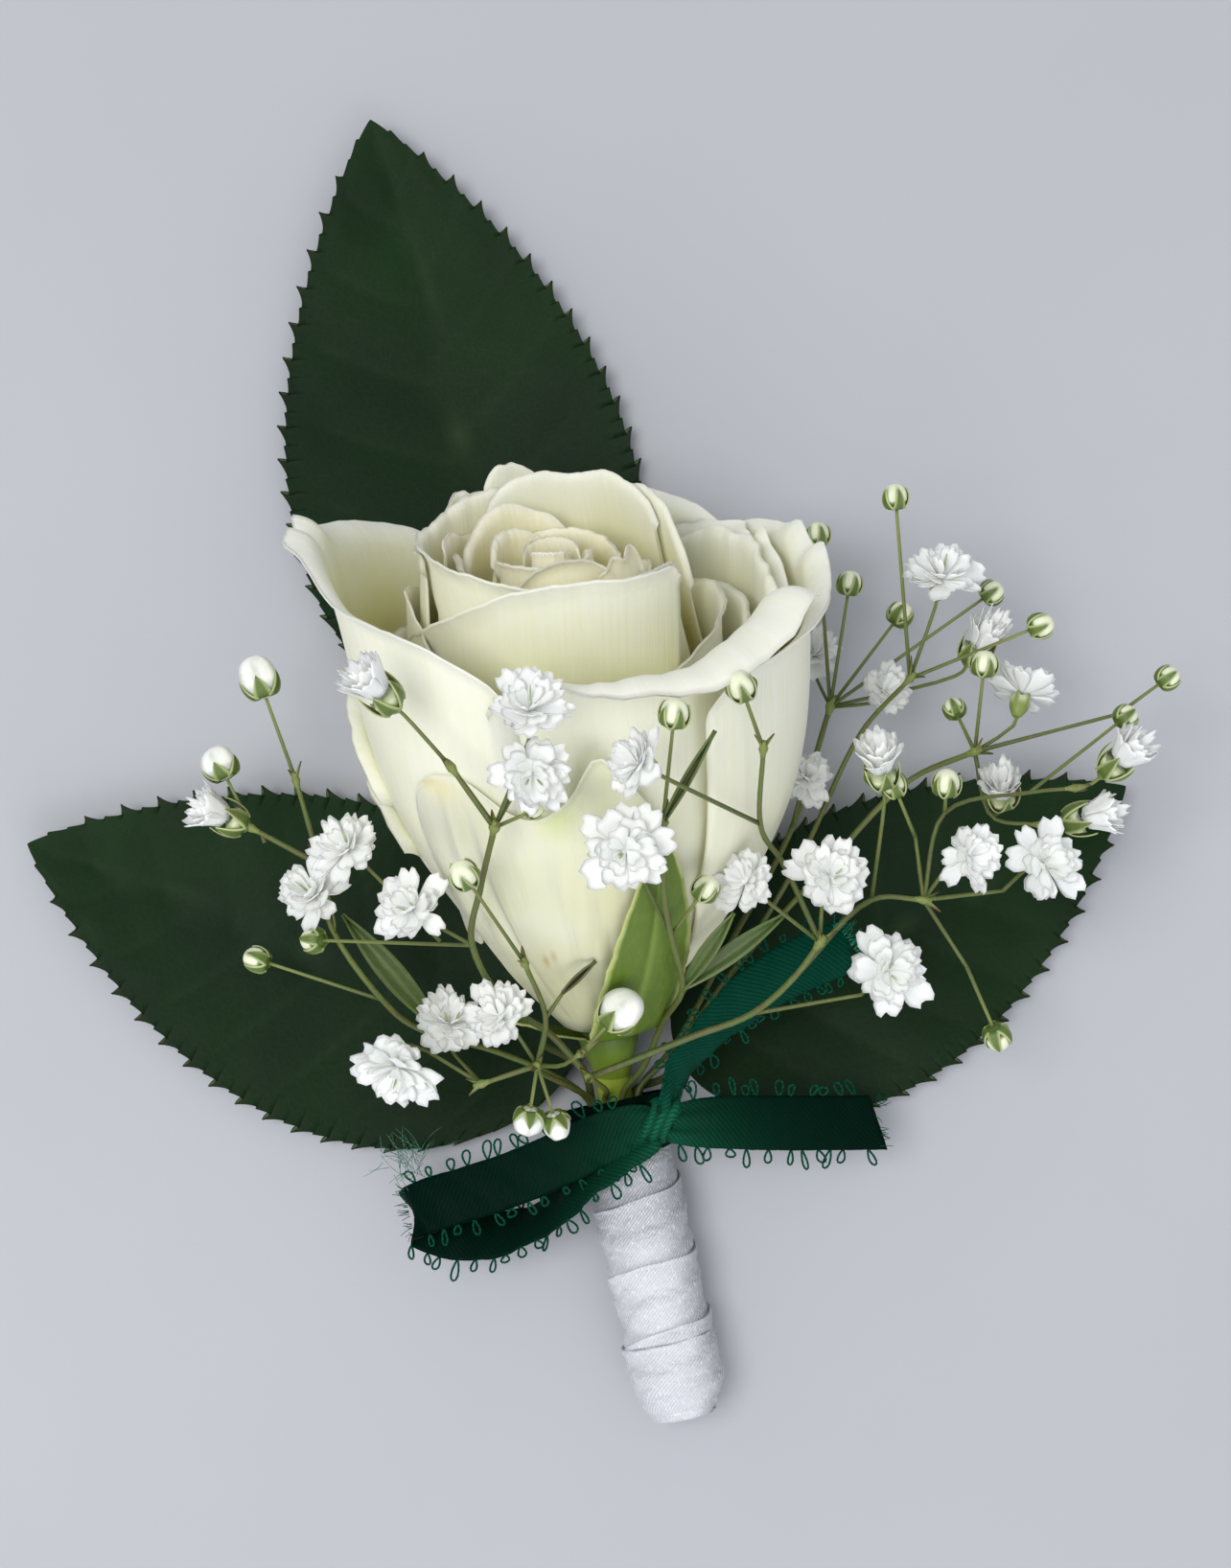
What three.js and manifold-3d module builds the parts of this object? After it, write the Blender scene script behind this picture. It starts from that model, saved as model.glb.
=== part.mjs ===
// A boutonniere lying on a surface: a white rose with three of its leaves and sprays of double
// baby's breath. The stems are taped together, wrapped in white satin ribbon and tied with a
// green ribbon. Millimetres, +Z up, +Y from the tied stems to the flower. The origin is on the
// surface, under the flat underside of the green ribbon's ring.

import * as THREE from 'three';
import { mergeVertices } from 'three/addons/utils/BufferGeometryUtils.js';
import Module from 'manifold-3d';

const wasm = await Module();
wasm.setup();

// Pieces that touch keep this much between them.
const CLEAR = 0.3;

// Tied stems: the axis turns to the right as it goes down, and sinks to the surface at its end.
const BUNDLE_TURN = THREE.MathUtils.degToRad(12.7);
const WRAP_RADIUS = 5.3;
const WRAP_FLAT = 4.95;
const WRAP_TOP = 2;
const WRAP_END = -33;
const RIBBON_WIDTH = 6;
const RIBBON_THICK = 0.6;
const RING_RADIUS = WRAP_RADIUS + CLEAR + RIBBON_THICK;
const RING_FLAT = WRAP_FLAT + CLEAR + RIBBON_THICK;
const BUNDLE_TILT = Math.atan((RING_FLAT - WRAP_FLAT) / -WRAP_END);
const BORE_RADIUS = 4.5;
const BORE_END = -30.6;
const TAPE_RADIUS = 4.15;
const TAPE_WALL = 0.35;
const TAPE_TOP = 2.6;
const TAPE_END = -30;
const ROSE_STEM_RADIUS = 1.95;
const ROSE_STEM_END = -29;
const THIN_STEM_RADIUS = 0.45;
const THIN_STEM_RING = 2.9;
const THIN_STEM_END = -14;
const PETIOLE_RADIUS = 0.5;
const PEDICEL_RADIUS = 0.3;
const STEM_STEP = 10;

// Rose: where its bloom begins, how far its axis leans left and rises, and its outline.
const ROSE_BASE = new THREE.Vector3(-1.7, 12.3, 10);
const ROSE_LEAN = THREE.MathUtils.degToRad(6.8);
const ROSE_RISE = THREE.MathUtils.degToRad(27);
const ROSE_HEIGHT = 50;
const ROSE_FOOT_RADIUS = 5;
const ROSE_RIM_RADIUS = 27;
const ROSE_BULGE = 5.6;
const ROSE_BACK_SQUASH = 0.04;
const PETAL_THICK = 0.8;

// Rose leaves.
const LEAF_THICK = 0.7;
const LEAF_TEETH = 16;
const TOOTH_DEPTH = 1.2;

const WHITE_PETAL = { color: 0xf3f1e2, roughness: 0.62, metalness: 0 };
const FLORET_WHITE = { color: 0xf7f8fb, roughness: 0.7, metalness: 0 };
const STEM_GREEN = { color: 0x6d7f3a, roughness: 0.6, metalness: 0 };
const HIP_GREEN = { color: 0x7c9130, roughness: 0.5, metalness: 0 };
const LEAF_GREEN = { color: 0x1d3a20, roughness: 0.5, metalness: 0 };
const TAPE_GREEN = { color: 0x1d2f24, roughness: 0.85, metalness: 0 };
const SATIN_WHITE = { color: 0xe9eaee, roughness: 0.35, metalness: 0 };
const SATIN_GREEN = { color: 0x0b4f37, roughness: 0.35, metalness: 0 };

const boutonniere = new THREE.Group();

// Small vector helpers.
const vec = (x, y, z) => new THREE.Vector3(x, y, z);
const place = (value) => (value.isVector3 ? value.clone() : vec(...value));
const mix = THREE.MathUtils.lerp;
const clamp = THREE.MathUtils.clamp;

// Adds a solid to the object as a named mesh.
function addPiece(name, solid, finish) {
  const { vertProperties, triVerts } = solid.getMesh();
  const geometry = new THREE.BufferGeometry();
  geometry.setAttribute('position', new THREE.BufferAttribute(vertProperties, 3));
  geometry.setIndex(new THREE.BufferAttribute(outerShell(vertProperties, triVerts), 1));
  geometry.computeVertexNormals();
  const mesh = new THREE.Mesh(geometry, new THREE.MeshStandardMaterial(finish));
  mesh.name = name;
  boutonniere.add(mesh);
}

// Six times the volume under one triangle, signed by which way it faces.
function volumeUnder(points, a, b, c) {
  const [ax, ay, az] = points.slice(3 * a, 3 * a + 3);
  const [bx, by, bz] = points.slice(3 * b, 3 * b + 3);
  const [cx, cy, cz] = points.slice(3 * c, 3 * c + 3);
  return ax * (by * cz - bz * cy) + ay * (bz * cx - bx * cz) + az * (bx * cy - by * cx);
}

// Keeps the largest connected shell: loose scraps are dropped and sealed hollows are filled.
function outerShell(points, triangles) {
  const parent = Array.from({ length: points.length / 3 }, (_, i) => i);
  const root = (i) => {
    while (parent[i] !== i) {
      parent[i] = parent[parent[i]];
      i = parent[i];
    }
    return i;
  };
  for (let t = 0; t < triangles.length; t += 3) {
    parent[root(triangles[t + 1])] = root(triangles[t]);
    parent[root(triangles[t + 2])] = root(triangles[t]);
  }
  const volumes = new Map();
  for (let t = 0; t < triangles.length; t += 3) {
    const shell = root(triangles[t]);
    const volume = volumeUnder(points, triangles[t], triangles[t + 1], triangles[t + 2]);
    volumes.set(shell, (volumes.get(shell) ?? 0) + volume);
  }
  const largest = [...volumes.entries()].sort((a, b) => b[1] - a[1])[0][0];
  const kept = [];
  for (let t = 0; t < triangles.length; t += 3) {
    if (root(triangles[t]) === largest) {
      kept.push(triangles[t], triangles[t + 1], triangles[t + 2]);
    }
  }
  return new Uint32Array(kept);
}

// Turns a closed three.js geometry into a solid that can be joined and cut.
function toSolid(geometry) {
  const bare = geometry.clone();
  bare.deleteAttribute('normal');
  bare.deleteAttribute('uv');
  const merged = mergeVertices(bare, 1e-4);
  const points = merged.attributes.position.array;
  const triangles = [];
  let volume = 0;
  for (let t = 0; t < merged.index.count; t += 3) {
    const [a, b, c] = [0, 1, 2].map((k) => merged.index.getX(t + k));
    if (a !== b && b !== c && c !== a) {
      triangles.push(a, b, c);
      volume += volumeUnder(points, a, b, c);
    }
  }
  if (volume < 0) {
    for (let t = 0; t < triangles.length; t += 3) {
      [triangles[t + 1], triangles[t + 2]] = [triangles[t + 2], triangles[t + 1]];
    }
  }
  return new wasm.Manifold(new wasm.Mesh({
    numProp: 3,
    vertProperties: new Float32Array(points),
    triVerts: new Uint32Array(triangles),
  }));
}

function fuse(solids) {
  return solids.reduce((sum, solid) => sum.add(solid));
}

function fromFaces(points, faces) {
  const geometry = new THREE.BufferGeometry().setFromPoints(points);
  geometry.setIndex(faces);
  return geometry;
}

// A thin closed body about a surface(u, v), u from -1 to 1 across and v from 0 to 1 along.
// Both faces are split into triangles alike, so a waved blade doesn't cross itself.
function blade(surface, columns, rows, thick) {
  const us = Array.from({ length: columns + 1 }, (_, i) => -1 + (2 * i) / columns);
  const vs = Array.isArray(rows) ? rows : Array.from({ length: rows + 1 }, (_, j) => j / rows);
  const grid = vs.map((v) => us.map((u) => surface(u, v)));
  const across = us.length;
  const at = (j, i) => grid[clamp(j, 0, vs.length - 1)][clamp(i, 0, across - 1)];
  const upper = [];
  const lower = [];
  for (let j = 0; j < vs.length; j++) {
    for (let i = 0; i < across; i++) {
      const side = at(j, i + 1).clone().sub(at(j, i - 1));
      const ahead = at(j + 1, i).clone().sub(at(j - 1, i));
      const normal = side.cross(ahead).normalize().multiplyScalar(thick / 2);
      upper.push(grid[j][i].clone().add(normal));
      lower.push(grid[j][i].clone().sub(normal));
    }
  }
  const count = upper.length;
  const faces = [];
  for (let j = 0; j + 1 < vs.length; j++) {
    for (let i = 0; i + 1 < across; i++) {
      const [a, b] = [j * across + i, j * across + i + 1];
      const [c, d] = [b + across, a + across];
      faces.push(a, b, c, a, c, d);
      faces.push(count + a, count + c, count + b, count + a, count + d, count + c);
    }
  }
  const wall = (a, b) => faces.push(b, a, count + a, b, count + a, count + b);
  for (let i = 0; i + 1 < across; i++) {
    wall(i, i + 1);
    wall((vs.length - 1) * across + i + 1, (vs.length - 1) * across + i);
  }
  for (let j = 0; j + 1 < vs.length; j++) {
    wall((j + 1) * across, j * across);
    wall(j * across + across - 1, (j + 1) * across + across - 1);
  }
  return toSolid(fromFaces([...upper, ...lower], faces));
}

// A closed body through a list of rings with equal numbers of points.
function loft(rings) {
  const sides = rings[0].length;
  const middle = (ring) => ring.reduce((sum, p) => sum.add(p), vec(0, 0, 0)).divideScalar(sides);
  const points = [...rings.flat(), middle(rings[0]), middle(rings.at(-1))];
  const first = sides * rings.length;
  const faces = [];
  for (let i = 0; i < sides; i++) {
    const next = (i + 1) % sides;
    for (let r = 0; r + 1 < rings.length; r++) {
      const [a, b] = [r * sides + i, r * sides + next];
      faces.push(a, b, b + sides, a, b + sides, a + sides);
    }
    faces.push(first, next, i);
    faces.push(first + 1, first - sides + i, first - sides + next);
  }
  return toSolid(fromFaces(points, faces));
}

function circleShape(radius, sides) {
  const corner = (i) => {
    const angle = (2 * Math.PI * i) / sides;
    return new THREE.Vector2(radius * Math.cos(angle), radius * Math.sin(angle));
  };
  return new THREE.Shape(Array.from({ length: sides }, (_, i) => corner(i)));
}

// A tube along a smooth curve through places, with rings at each and no more than STEM_STEP apart.
function tube(radius, sides, places) {
  const through = places.map(place);
  const curve = new THREE.CatmullRomCurve3(through, false, 'centripetal');
  const stations = [0];
  for (let i = 1; i < through.length; i++) {
    const parts = Math.max(1, Math.round(through[i].distanceTo(through[i - 1]) / STEM_STEP));
    for (let part = 1; part <= parts; part++) {
      stations.push((i - 1 + part / parts) / (through.length - 1));
    }
  }
  const first = curve.getTangent(0);
  const across = Math.abs(first.z) < 0.8 ? vec(0, 0, 1) : vec(1, 0, 0);
  return loft(stations.map((station) => {
    const ahead = curve.getTangent(station);
    across.addScaledVector(ahead, -across.dot(ahead)).normalize();
    const up = ahead.clone().cross(across);
    return Array.from({ length: sides }, (_, i) => {
      const angle = (2 * Math.PI * i) / sides;
      return curve.getPoint(station)
        .addScaledVector(across, radius * Math.cos(angle))
        .addScaledVector(up, radius * Math.sin(angle));
    });
  }));
}

// Moves a geometry that stands along +Y so that it stands at a place along a direction.
function aim(geometry, at, direction) {
  const turn = new THREE.Quaternion().setFromUnitVectors(vec(0, 1, 0), place(direction).normalize());
  return geometry.applyQuaternion(turn).translate(...place(at).toArray());
}

// Tied stems: places along the bundle, at an angle round its axis from the right, towards +Z.
const bundleFrame = new THREE.Matrix4()
  .makeRotationZ(BUNDLE_TURN)
  .setPosition(0, 0, RING_FLAT)
  .multiply(new THREE.Matrix4().makeRotationX(BUNDLE_TILT));

function inBundle(degrees, along, radius) {
  const angle = THREE.MathUtils.degToRad(degrees);
  return vec(radius * Math.cos(angle), along, radius * Math.sin(angle)).applyMatrix4(bundleFrame);
}

// The first places of a thin stem, from its cut end up to where it leaves the tape.
function rootPlaces(degrees) {
  return [THIN_STEM_END, THIN_STEM_END / 2, 0, TAPE_TOP + 0.8].map(
    (along) => inBundle(degrees, along, THIN_STEM_RING),
  );
}

// A circle that is pressed flat below, as the soft wrapped stems are where they lie.
function flattenedCircle(radius, flat, sides) {
  const edge = Math.acos(flat / radius);
  return Array.from({ length: sides + 1 }, (_, i) => {
    const angle = -Math.PI / 2 + edge + ((2 * Math.PI - 2 * edge) * i) / sides;
    return new THREE.Vector2(radius * Math.cos(angle), radius * Math.sin(angle));
  });
}

// An outline extruded along the bundle, from the place start down to the place end.
function bundleExtrusion(outline, start, end) {
  const shape = outline instanceof THREE.Shape ? outline : new THREE.Shape(outline);
  const geometry = new THREE.ExtrudeGeometry(shape, { depth: start - end, bevelEnabled: false });
  return geometry.rotateX(Math.PI / 2).translate(0, start, 0);
}

function satinWrap() {
  const stations = [
    [WRAP_TOP, 0.98],
    [-4, 0.985],
    [-9, 0.98],
    [-15, 0.975],
    [-21, 0.97],
    [-26, 0.985],
    [-30, 1],
    [-32.4, 0.95],
    [WRAP_END, 0.8],
  ];
  const rings = stations.map(([along, scale]) =>
    flattenedCircle(WRAP_RADIUS * scale, WRAP_FLAT * scale, 15)
      .map((p) => vec(p.x, along, p.y).applyMatrix4(bundleFrame)));
  const bore = bundleExtrusion(circleShape(BORE_RADIUS, 16), WRAP_TOP + 1, BORE_END);
  addPiece('satin_wrap', loft(rings).subtract(toSolid(bore.applyMatrix4(bundleFrame))), SATIN_WHITE);
}

function floralTape() {
  const outline = circleShape(TAPE_RADIUS, 16);
  outline.holes.push(circleShape(TAPE_RADIUS - TAPE_WALL, 16));
  const tube = bundleExtrusion(outline, TAPE_TOP, TAPE_END);
  addPiece('floral_tape', toSolid(tube.applyMatrix4(bundleFrame)), TAPE_GREEN);
}

// A strand of ribbon along places. The width direction turns from the first to the last, and
// slant moves the last end's edges apart along the strand, as a slanting cut does.
function ribbonStrand(places, widths, rows, slant = 0) {
  const curve = new THREE.CatmullRomCurve3(places.map(place), false, 'centripetal');
  const [first, last] = widths.map((value) => place(value).normalize());
  return blade((u, v) => {
    const width = first.clone().lerp(last, v).normalize();
    const end = curve.getTangentAt(1).multiplyScalar(slant * u * Math.max(0, 4 * v - 3));
    return curve.getPointAt(v).addScaledVector(width, (u * RIBBON_WIDTH) / 2).add(end);
  }, 1, rows, RIBBON_THICK);
}

function greenRibbon() {
  const level = new THREE.Matrix4().makeRotationZ(BUNDLE_TURN).setPosition(0, 0, RING_FLAT);
  const half = RIBBON_WIDTH / 2;
  const ring = bundleExtrusion(flattenedCircle(RING_RADIUS, RING_FLAT, 18), half, -half);
  const knotCentre = vec(4.4, -0.1, 11.9);
  const knot = new THREE.SphereGeometry(1, 8, 6).scale(3, 3.3, 2.3);
  const loopPlaces = [
    [4.2, -0.6, 12.9], [0, -2.6, 13.3], [-6, -5, 12.6], [-13, -7, 11.2], [-20.3, -8.6, 9.8],
    [-23.4, -9.8, 8.3], [-20.6, -10.9, 6.9], [-13, -10.7, 7.4], [-6, -8.4, 9.7], [0, -5, 12.4],
    [3.6, -1.8, 12.3],
  ];
  const rightPlaces = [[5, 0.3, 12.4], [10, 0.6, 12.4], [18, 0.5, 11.2], [28.6, 0.5, 9.2]];
  const upperPlaces = [
    [5, 0.8, 12.6], [8.4, 5.6, 12.6], [13.9, 11, 12.6], [20, 15.8, 13.2], [25.5, 19.7, 13.6],
  ];
  const pieces = [
    toSolid(ring.applyMatrix4(level)),
    toSolid(knot.translate(...knotCentre.toArray())),
    ribbonStrand(loopPlaces, [[0.3, -0.95, -0.1], [0.3, -0.95, 0.1]], 16),
    ribbonStrand(rightPlaces, [[0.05, -1, 0.1], [0.05, -1, 0]], 6, 1),
    ribbonStrand(upperPlaces, [[0.85, -0.45, -0.2], [0.66, -0.75, 0.25]], 8, -0.8),
  ];
  const inside = flattenedCircle(WRAP_RADIUS + CLEAR, WRAP_FLAT + CLEAR, 18);
  const bore = bundleExtrusion(inside, half + 6, -half - 6).applyMatrix4(level);
  addPiece('green_ribbon', fuse(pieces).subtract(toSolid(bore)), SATIN_GREEN);
}

// Rose: axes of the bloom, and places given by the angle from the front, the height along the
// axis and the radius. Positive angles are on the right.
const roseAxis = vec(
  -Math.sin(ROSE_LEAN) * Math.cos(ROSE_RISE),
  Math.cos(ROSE_LEAN) * Math.cos(ROSE_RISE),
  Math.sin(ROSE_RISE),
);
const roseRight = vec(Math.cos(ROSE_LEAN), Math.sin(ROSE_LEAN), 0);
const roseFront = roseRight.clone().cross(roseAxis);

function rosePoint(degrees, height, radius) {
  const angle = THREE.MathUtils.degToRad(degrees);
  const squashed = radius * (1 - ROSE_BACK_SQUASH * (1 - Math.cos(angle)));
  return ROSE_BASE.clone()
    .addScaledVector(roseAxis, height)
    .addScaledVector(roseFront, squashed * Math.cos(angle))
    .addScaledVector(roseRight, squashed * Math.sin(angle));
}

// The radius of the bloom's outside at a height.
function bodyRadius(height) {
  const v = height / ROSE_HEIGHT;
  return mix(ROSE_FOOT_RADIUS, ROSE_RIM_RADIUS, v) + ROSE_BULGE * Math.sin(Math.PI * v);
}

// The radius of the inner cup at a height.
function cupRadius(height) {
  return 16.5 - 0.093 * (height - 30);
}

// The value at u, from -1 to 1, along a list of values.
function along(values, u) {
  const where = ((u + 1) / 2) * (values.length - 1);
  const before = Math.min(Math.floor(where), values.length - 2);
  return mix(values[before], values[before + 1], where - before);
}

// A petal: its middle angle, half its spread, the height of its foot, and its top edge, which is
// a list of heights from left to right or one height that droops at its corners and slopes. It
// stands out from its layer's radius, flares at the top, and laps over (positive) or under its
// neighbour on the right.
function petal(shape, layer) {
  const { at, half, foot, rim, top, out = 0, flare = 0, droop = 2, slope = 0, lap = 0 } = shape;
  const { radiusAt, rooted, columns, rows } = layer;
  return blade((u, v) => {
    const edge = rim ? along(rim, u) : top - droop * Math.abs(u) ** 2.6 + slope * u;
    const height = mix(foot, edge, v);
    const spread = half * (0.6 + 0.4 * Math.min(1, 2 * v));
    const free = 1 - (1 - v) ** 2;
    const lift = out * free - (rooted ? 1 : 0.3) * (1 - free);
    const curl = flare * clamp((v - 0.75) / 0.25, 0, 1) ** 2;
    return rosePoint(at + u * spread, height, radiusAt(height) + lift + curl + lap * u * free);
  }, columns, rows, PETAL_THICK);
}

const OUTER_LAYER = { radiusAt: bodyRadius, rooted: false, columns: 6, rows: 4 };
const CUP_LAYER = { radiusAt: cupRadius, rooted: true, columns: 5, rows: 3 };
const SWIRL_LAYER = { radiusAt: cupRadius, rooted: true, columns: 4, rows: 2 };

const OUTER_PETALS = [
  { at: -80, half: 68, foot: 1.5, rim: [52, 56, 58.5, 60, 55.5, 53.5, 49.5], out: -0.4, lap: 0.8 },
  { at: 28, half: 48, foot: 1.5, rim: [49, 48.6, 47.7, 46.4, 46.4, 48, 50.5], flare: 1.8, lap: 0.8 },
  { at: 92, half: 46, foot: 1.5, rim: [44, 44, 44.5, 46, 47.5, 48, 47], out: 0.5, flare: 1.4, lap: 0.8 },
  { at: 120, half: 34, foot: 2, top: 53, out: -1.6, flare: 0.6, droop: 4 },
  { at: 164, half: 40, foot: 1.5, top: 53.5, out: -0.5, flare: 0.5, droop: 3, lap: 0.7 },
  { at: -154, half: 44, foot: 1.5, top: 50, out: -0.7, flare: 0.4, droop: 3 },
  { at: -114, half: 27, foot: 2, top: 36, out: 2, droop: 9 },
  { at: 102, half: 44, foot: 8, top: 51, out: -5, droop: 3 },
];
const CUP_PETALS = [
  { at: -84, half: 30, foot: 28, top: 52, out: 2.6, droop: 4 },
  { at: -13, half: 66, foot: 26, top: 56, out: 1.1, flare: 0.8, droop: 1.5, slope: 1.4, lap: 0.5 },
  { at: 0, half: 84, foot: 30, top: 56.5, out: -0.6, flare: 0.8, droop: -0.5, slope: -2 },
  { at: 178, half: 76, foot: 30, top: 60, out: -0.4, droop: 2.5, lap: -0.6 },
  { at: 106, half: 38, foot: 30, top: 58.5, out: 1.4, droop: 4 },
  { at: -132, half: 40, foot: 30, top: 58, out: 1.2, droop: 3 },
  { at: -166, half: 22, foot: 30, top: 61, out: 3, droop: 5 },
];
const SWIRL_PETALS = [
  { at: 180, half: 80, foot: 34, top: 55, out: -3.6, lap: 0.6 },
  { at: 62, half: 64, foot: 34, top: 53, out: -4.8, lap: 0.6 },
  { at: -58, half: 64, foot: 34, top: 53, out: -4.8, lap: 0.6 },
  { at: 150, half: 90, foot: 36, top: 53.5, out: -7.8, lap: 0.6 },
  { at: -25, half: 80, foot: 36, top: 52, out: -9, lap: 0.6 },
];
const BUD_CORE = [
  [0.15, 3.6], [1.4, 6.1], [4, 8.5], [8, 11.4], [16, 15.2], [26, 17.4], [34, 16.6], [40, 13.5],
  [44, 9], [46, 4],
];

function roseRings(stations, sides) {
  return stations.map(([height, radius]) =>
    Array.from({ length: sides }, (_, i) => rosePoint((360 * i) / sides, height, radius)));
}

function roseBloom() {
  const pieces = [
    loft(roseRings(BUD_CORE, 12)),
    ...OUTER_PETALS.map((shape) => petal(shape, OUTER_LAYER)),
    ...CUP_PETALS.map((shape) => petal(shape, CUP_LAYER)),
    ...SWIRL_PETALS.map((shape) => petal(shape, SWIRL_LAYER)),
  ];
  addPiece('rose_bloom', fuse(pieces), WHITE_PETAL);
}

// A sepal that lies along the bloom, or bends back from it where spread is given.
function sepal({ at, width, length, spread = 0 }) {
  return blade((u, v) => {
    const lying = Math.max(0, (v - 0.2) / 0.8);
    const height = v < 0.2 ? mix(-1.4, 1.5, 5 * v) : mix(1.5, length, lying);
    const radius = v < 0.2 ? mix(3, bodyRadius(1.5) + 2.3, 5 * v) : bodyRadius(height) + 2.2;
    const half = (width / 2) * Math.sin(Math.PI * (0.2 + 0.8 * v)) ** 0.7 + 0.15;
    const degrees = at + THREE.MathUtils.radToDeg((u * half) / radius);
    return rosePoint(degrees, height - spread * lying ** 2 * 6, radius + spread * lying * 3);
  }, 2, 5, 0.6);
}

function roseStem() {
  const hip = [[-8, 1.9], [-5.5, 2.6], [-3, 3.4], [-1, 3.7], [-0.2, 3.4]];
  const stemPlaces = [
    inBundle(0, ROSE_STEM_END, 0),
    inBundle(0, ROSE_STEM_END / 2, 0),
    inBundle(0, TAPE_TOP, 0),
    rosePoint(0, -5, 0),
  ];
  const pieces = [
    tube(ROSE_STEM_RADIUS, 8, stemPlaces),
    loft(roseRings(hip, 10)),
    sepal({ at: 17, width: 9.4, length: 31 }),
    sepal({ at: 100, width: 5, length: 11 }),
    sepal({ at: -60, width: 4, length: 7, spread: 0.4 }),
    sepal({ at: -130, width: 5, length: 7 }),
    ];
  addPiece('rose_stem', fuse(pieces), HIP_GREEN);
}

// Half of a leaf's width at a part of its length, for a leaf whose greatest width is 2.
function leafOutline(part) {
  return 2.7 * part ** 0.58 * (1 - part) ** 0.91;
}

// A rose leaf with a toothed edge. Its middle sinks from the height rise to the surface, its
// edges turn up by cup, and its tip ends at the height tipLift. Its petiole comes from places.
// Halves are the widths of its blade to the left and the right of its middle vein.
function roseLeaf(name, { foot, tip, halves, rise, cup, tipLift, petiole }) {
  const start = vec(foot[0], foot[1], 0);
  const along = vec(tip[0], tip[1], 0).sub(start);
  const sideways = vec(-along.y, along.x, 0).normalize();
  const rows = [0];
  for (let tooth = 0; tooth < LEAF_TEETH; tooth++) {
    rows.push((tooth + 0.78) / LEAF_TEETH, (tooth + 1) / LEAF_TEETH);
  }
  const surface = (u, v) => {
    const toothTip = Math.round(v * LEAF_TEETH * 50) % 50 !== 0;
    const edge = Math.abs(u) === 1;
    const tooth = edge ? TOOTH_DEPTH * (toothTip ? 0.6 : -0.4) * Math.min(1, 8 * (1 - v), 12 * v) : 0;
    const half = Math.max(0.25, halves[u > 0 ? 0 : 1] * leafOutline(v) + tooth);
    const low = rise * Math.max(0, 1 - v / 0.3) ** 2 + tipLift * v ** 4;
    const turned = cup * leafOutline(v) * Math.abs(u);
    return start.clone()
      .addScaledVector(along, v)
      .addScaledVector(sideways, u * half)
      .setZ(LEAF_THICK / 2 + low + turned);
  };
  const join = surface(0, 0.06);
  const pieces = [
    blade(surface, 2, rows, LEAF_THICK),
    tube(PETIOLE_RADIUS, 5, [...petiole, [join.x, join.y, join.z + 0.2]]),
  ];
  addPiece(name, fuse(pieces), LEAF_GREEN);
}

function roseLeaves() {
  roseLeaf('leaf_top', {
    foot: [-8.6, 43.6], tip: [-29.3, 116.7], halves: [22, 19.4], rise: 0.2, cup: 2.2, tipLift: 4,
    petiole: [...rootPlaces(270), [-2, 10, 1.3], [-4.6, 26, 0.7], [-8.2, 42.2, 0.6]],
  });
  roseLeaf('leaf_left', {
    foot: [-5, 7.6], tip: [-67.9, 32], halves: [19.4, 19.6], rise: 2.9, cup: 2.4, tipLift: 3.5,
    petiole: [...rootPlaces(206), [-4.4, 6.4, 3.8]],
  });
  roseLeaf('leaf_right', {
    foot: [7, 6.6], tip: [57.8, 38.6], halves: [16.5, 16.5], rise: 3.4, cup: 2.6, tipLift: 3.5,
    petiole: [...rootPlaces(322), [4.6, 5.2, 3.6]],
  });
}

// A flower's ring of blunt lobes: each lobe has two shoulders and a notch beside it.
function lobedDisc({ lobes, radius, notch, rise, thick }) {
  const rim = [];
  const step = (2 * Math.PI) / lobes;
  const rimPoint = (angle, part, twist) =>
    vec(radius * part * Math.cos(angle), rise * part ** 1.5 + twist, radius * part * Math.sin(angle));
  for (let lobe = 0; lobe < lobes; lobe++) {
    rim.push(rimPoint((lobe - 0.27) * step, 1, 0.3));
    rim.push(rimPoint((lobe + 0.27) * step, 0.96, -0.2));
    rim.push(rimPoint((lobe + 0.5) * step, notch, 0));
  }
  const half = vec(0, thick / 2, 0);
  const count = rim.length;
  const points = [
    ...rim.map((p) => p.clone().add(half)),
    ...rim.map((p) => p.clone().sub(half)),
    half.clone(),
    half.clone().negate(),
  ];
  const faces = [];
  for (let i = 0; i < count; i++) {
    const next = (i + 1) % count;
    faces.push(i, next, 2 * count);
    faces.push(count + next, count + i, 2 * count + 1);
    faces.push(next, i, count + i, next, count + i, count + next);
  }
  return fromFaces(points, faces);
}

// A flower's pointed inner petals, as a star that opens upwards from a point.
function innerStar({ points: tips, radius, height, depth }) {
  const rim = Array.from({ length: 2 * tips }, (_, i) => {
    const reach = i % 2 ? 0.45 : 1;
    const angle = (Math.PI * i) / tips;
    return vec(radius * reach * Math.cos(angle), height * (0.5 + 0.5 * reach), radius * reach * Math.sin(angle));
  });
  const faces = [];
  for (let i = 0; i < 2 * tips; i++) {
    const next = (i + 1) % (2 * tips);
    faces.push(i, next, 2 * tips, next, i, 2 * tips + 1);
  }
  return fromFaces([...rim, vec(0, depth, 0), vec(0, 0, 0)], faces);
}

// Forms of flower: open wide, and half open like a small goblet.
const OPEN = { lobes: 5, notch: 0.66, rise: 0.9, starReach: 0.6, starHeight: 1.9, starDepth: 0.9 };
const GOBLET = { lobes: 5, notch: 0.8, rise: 3.6, starReach: 0.62, starHeight: 3.9, starDepth: 1.8 };
const FLORET_THICK = 0.6;
const CALYX_TOP = FLORET_THICK / 2 + CLEAR + 0.05;
const CALYX_LENGTH = 2.1;
const CALYX_RADIUS = 1.2;

let floretCount = 0;

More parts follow.
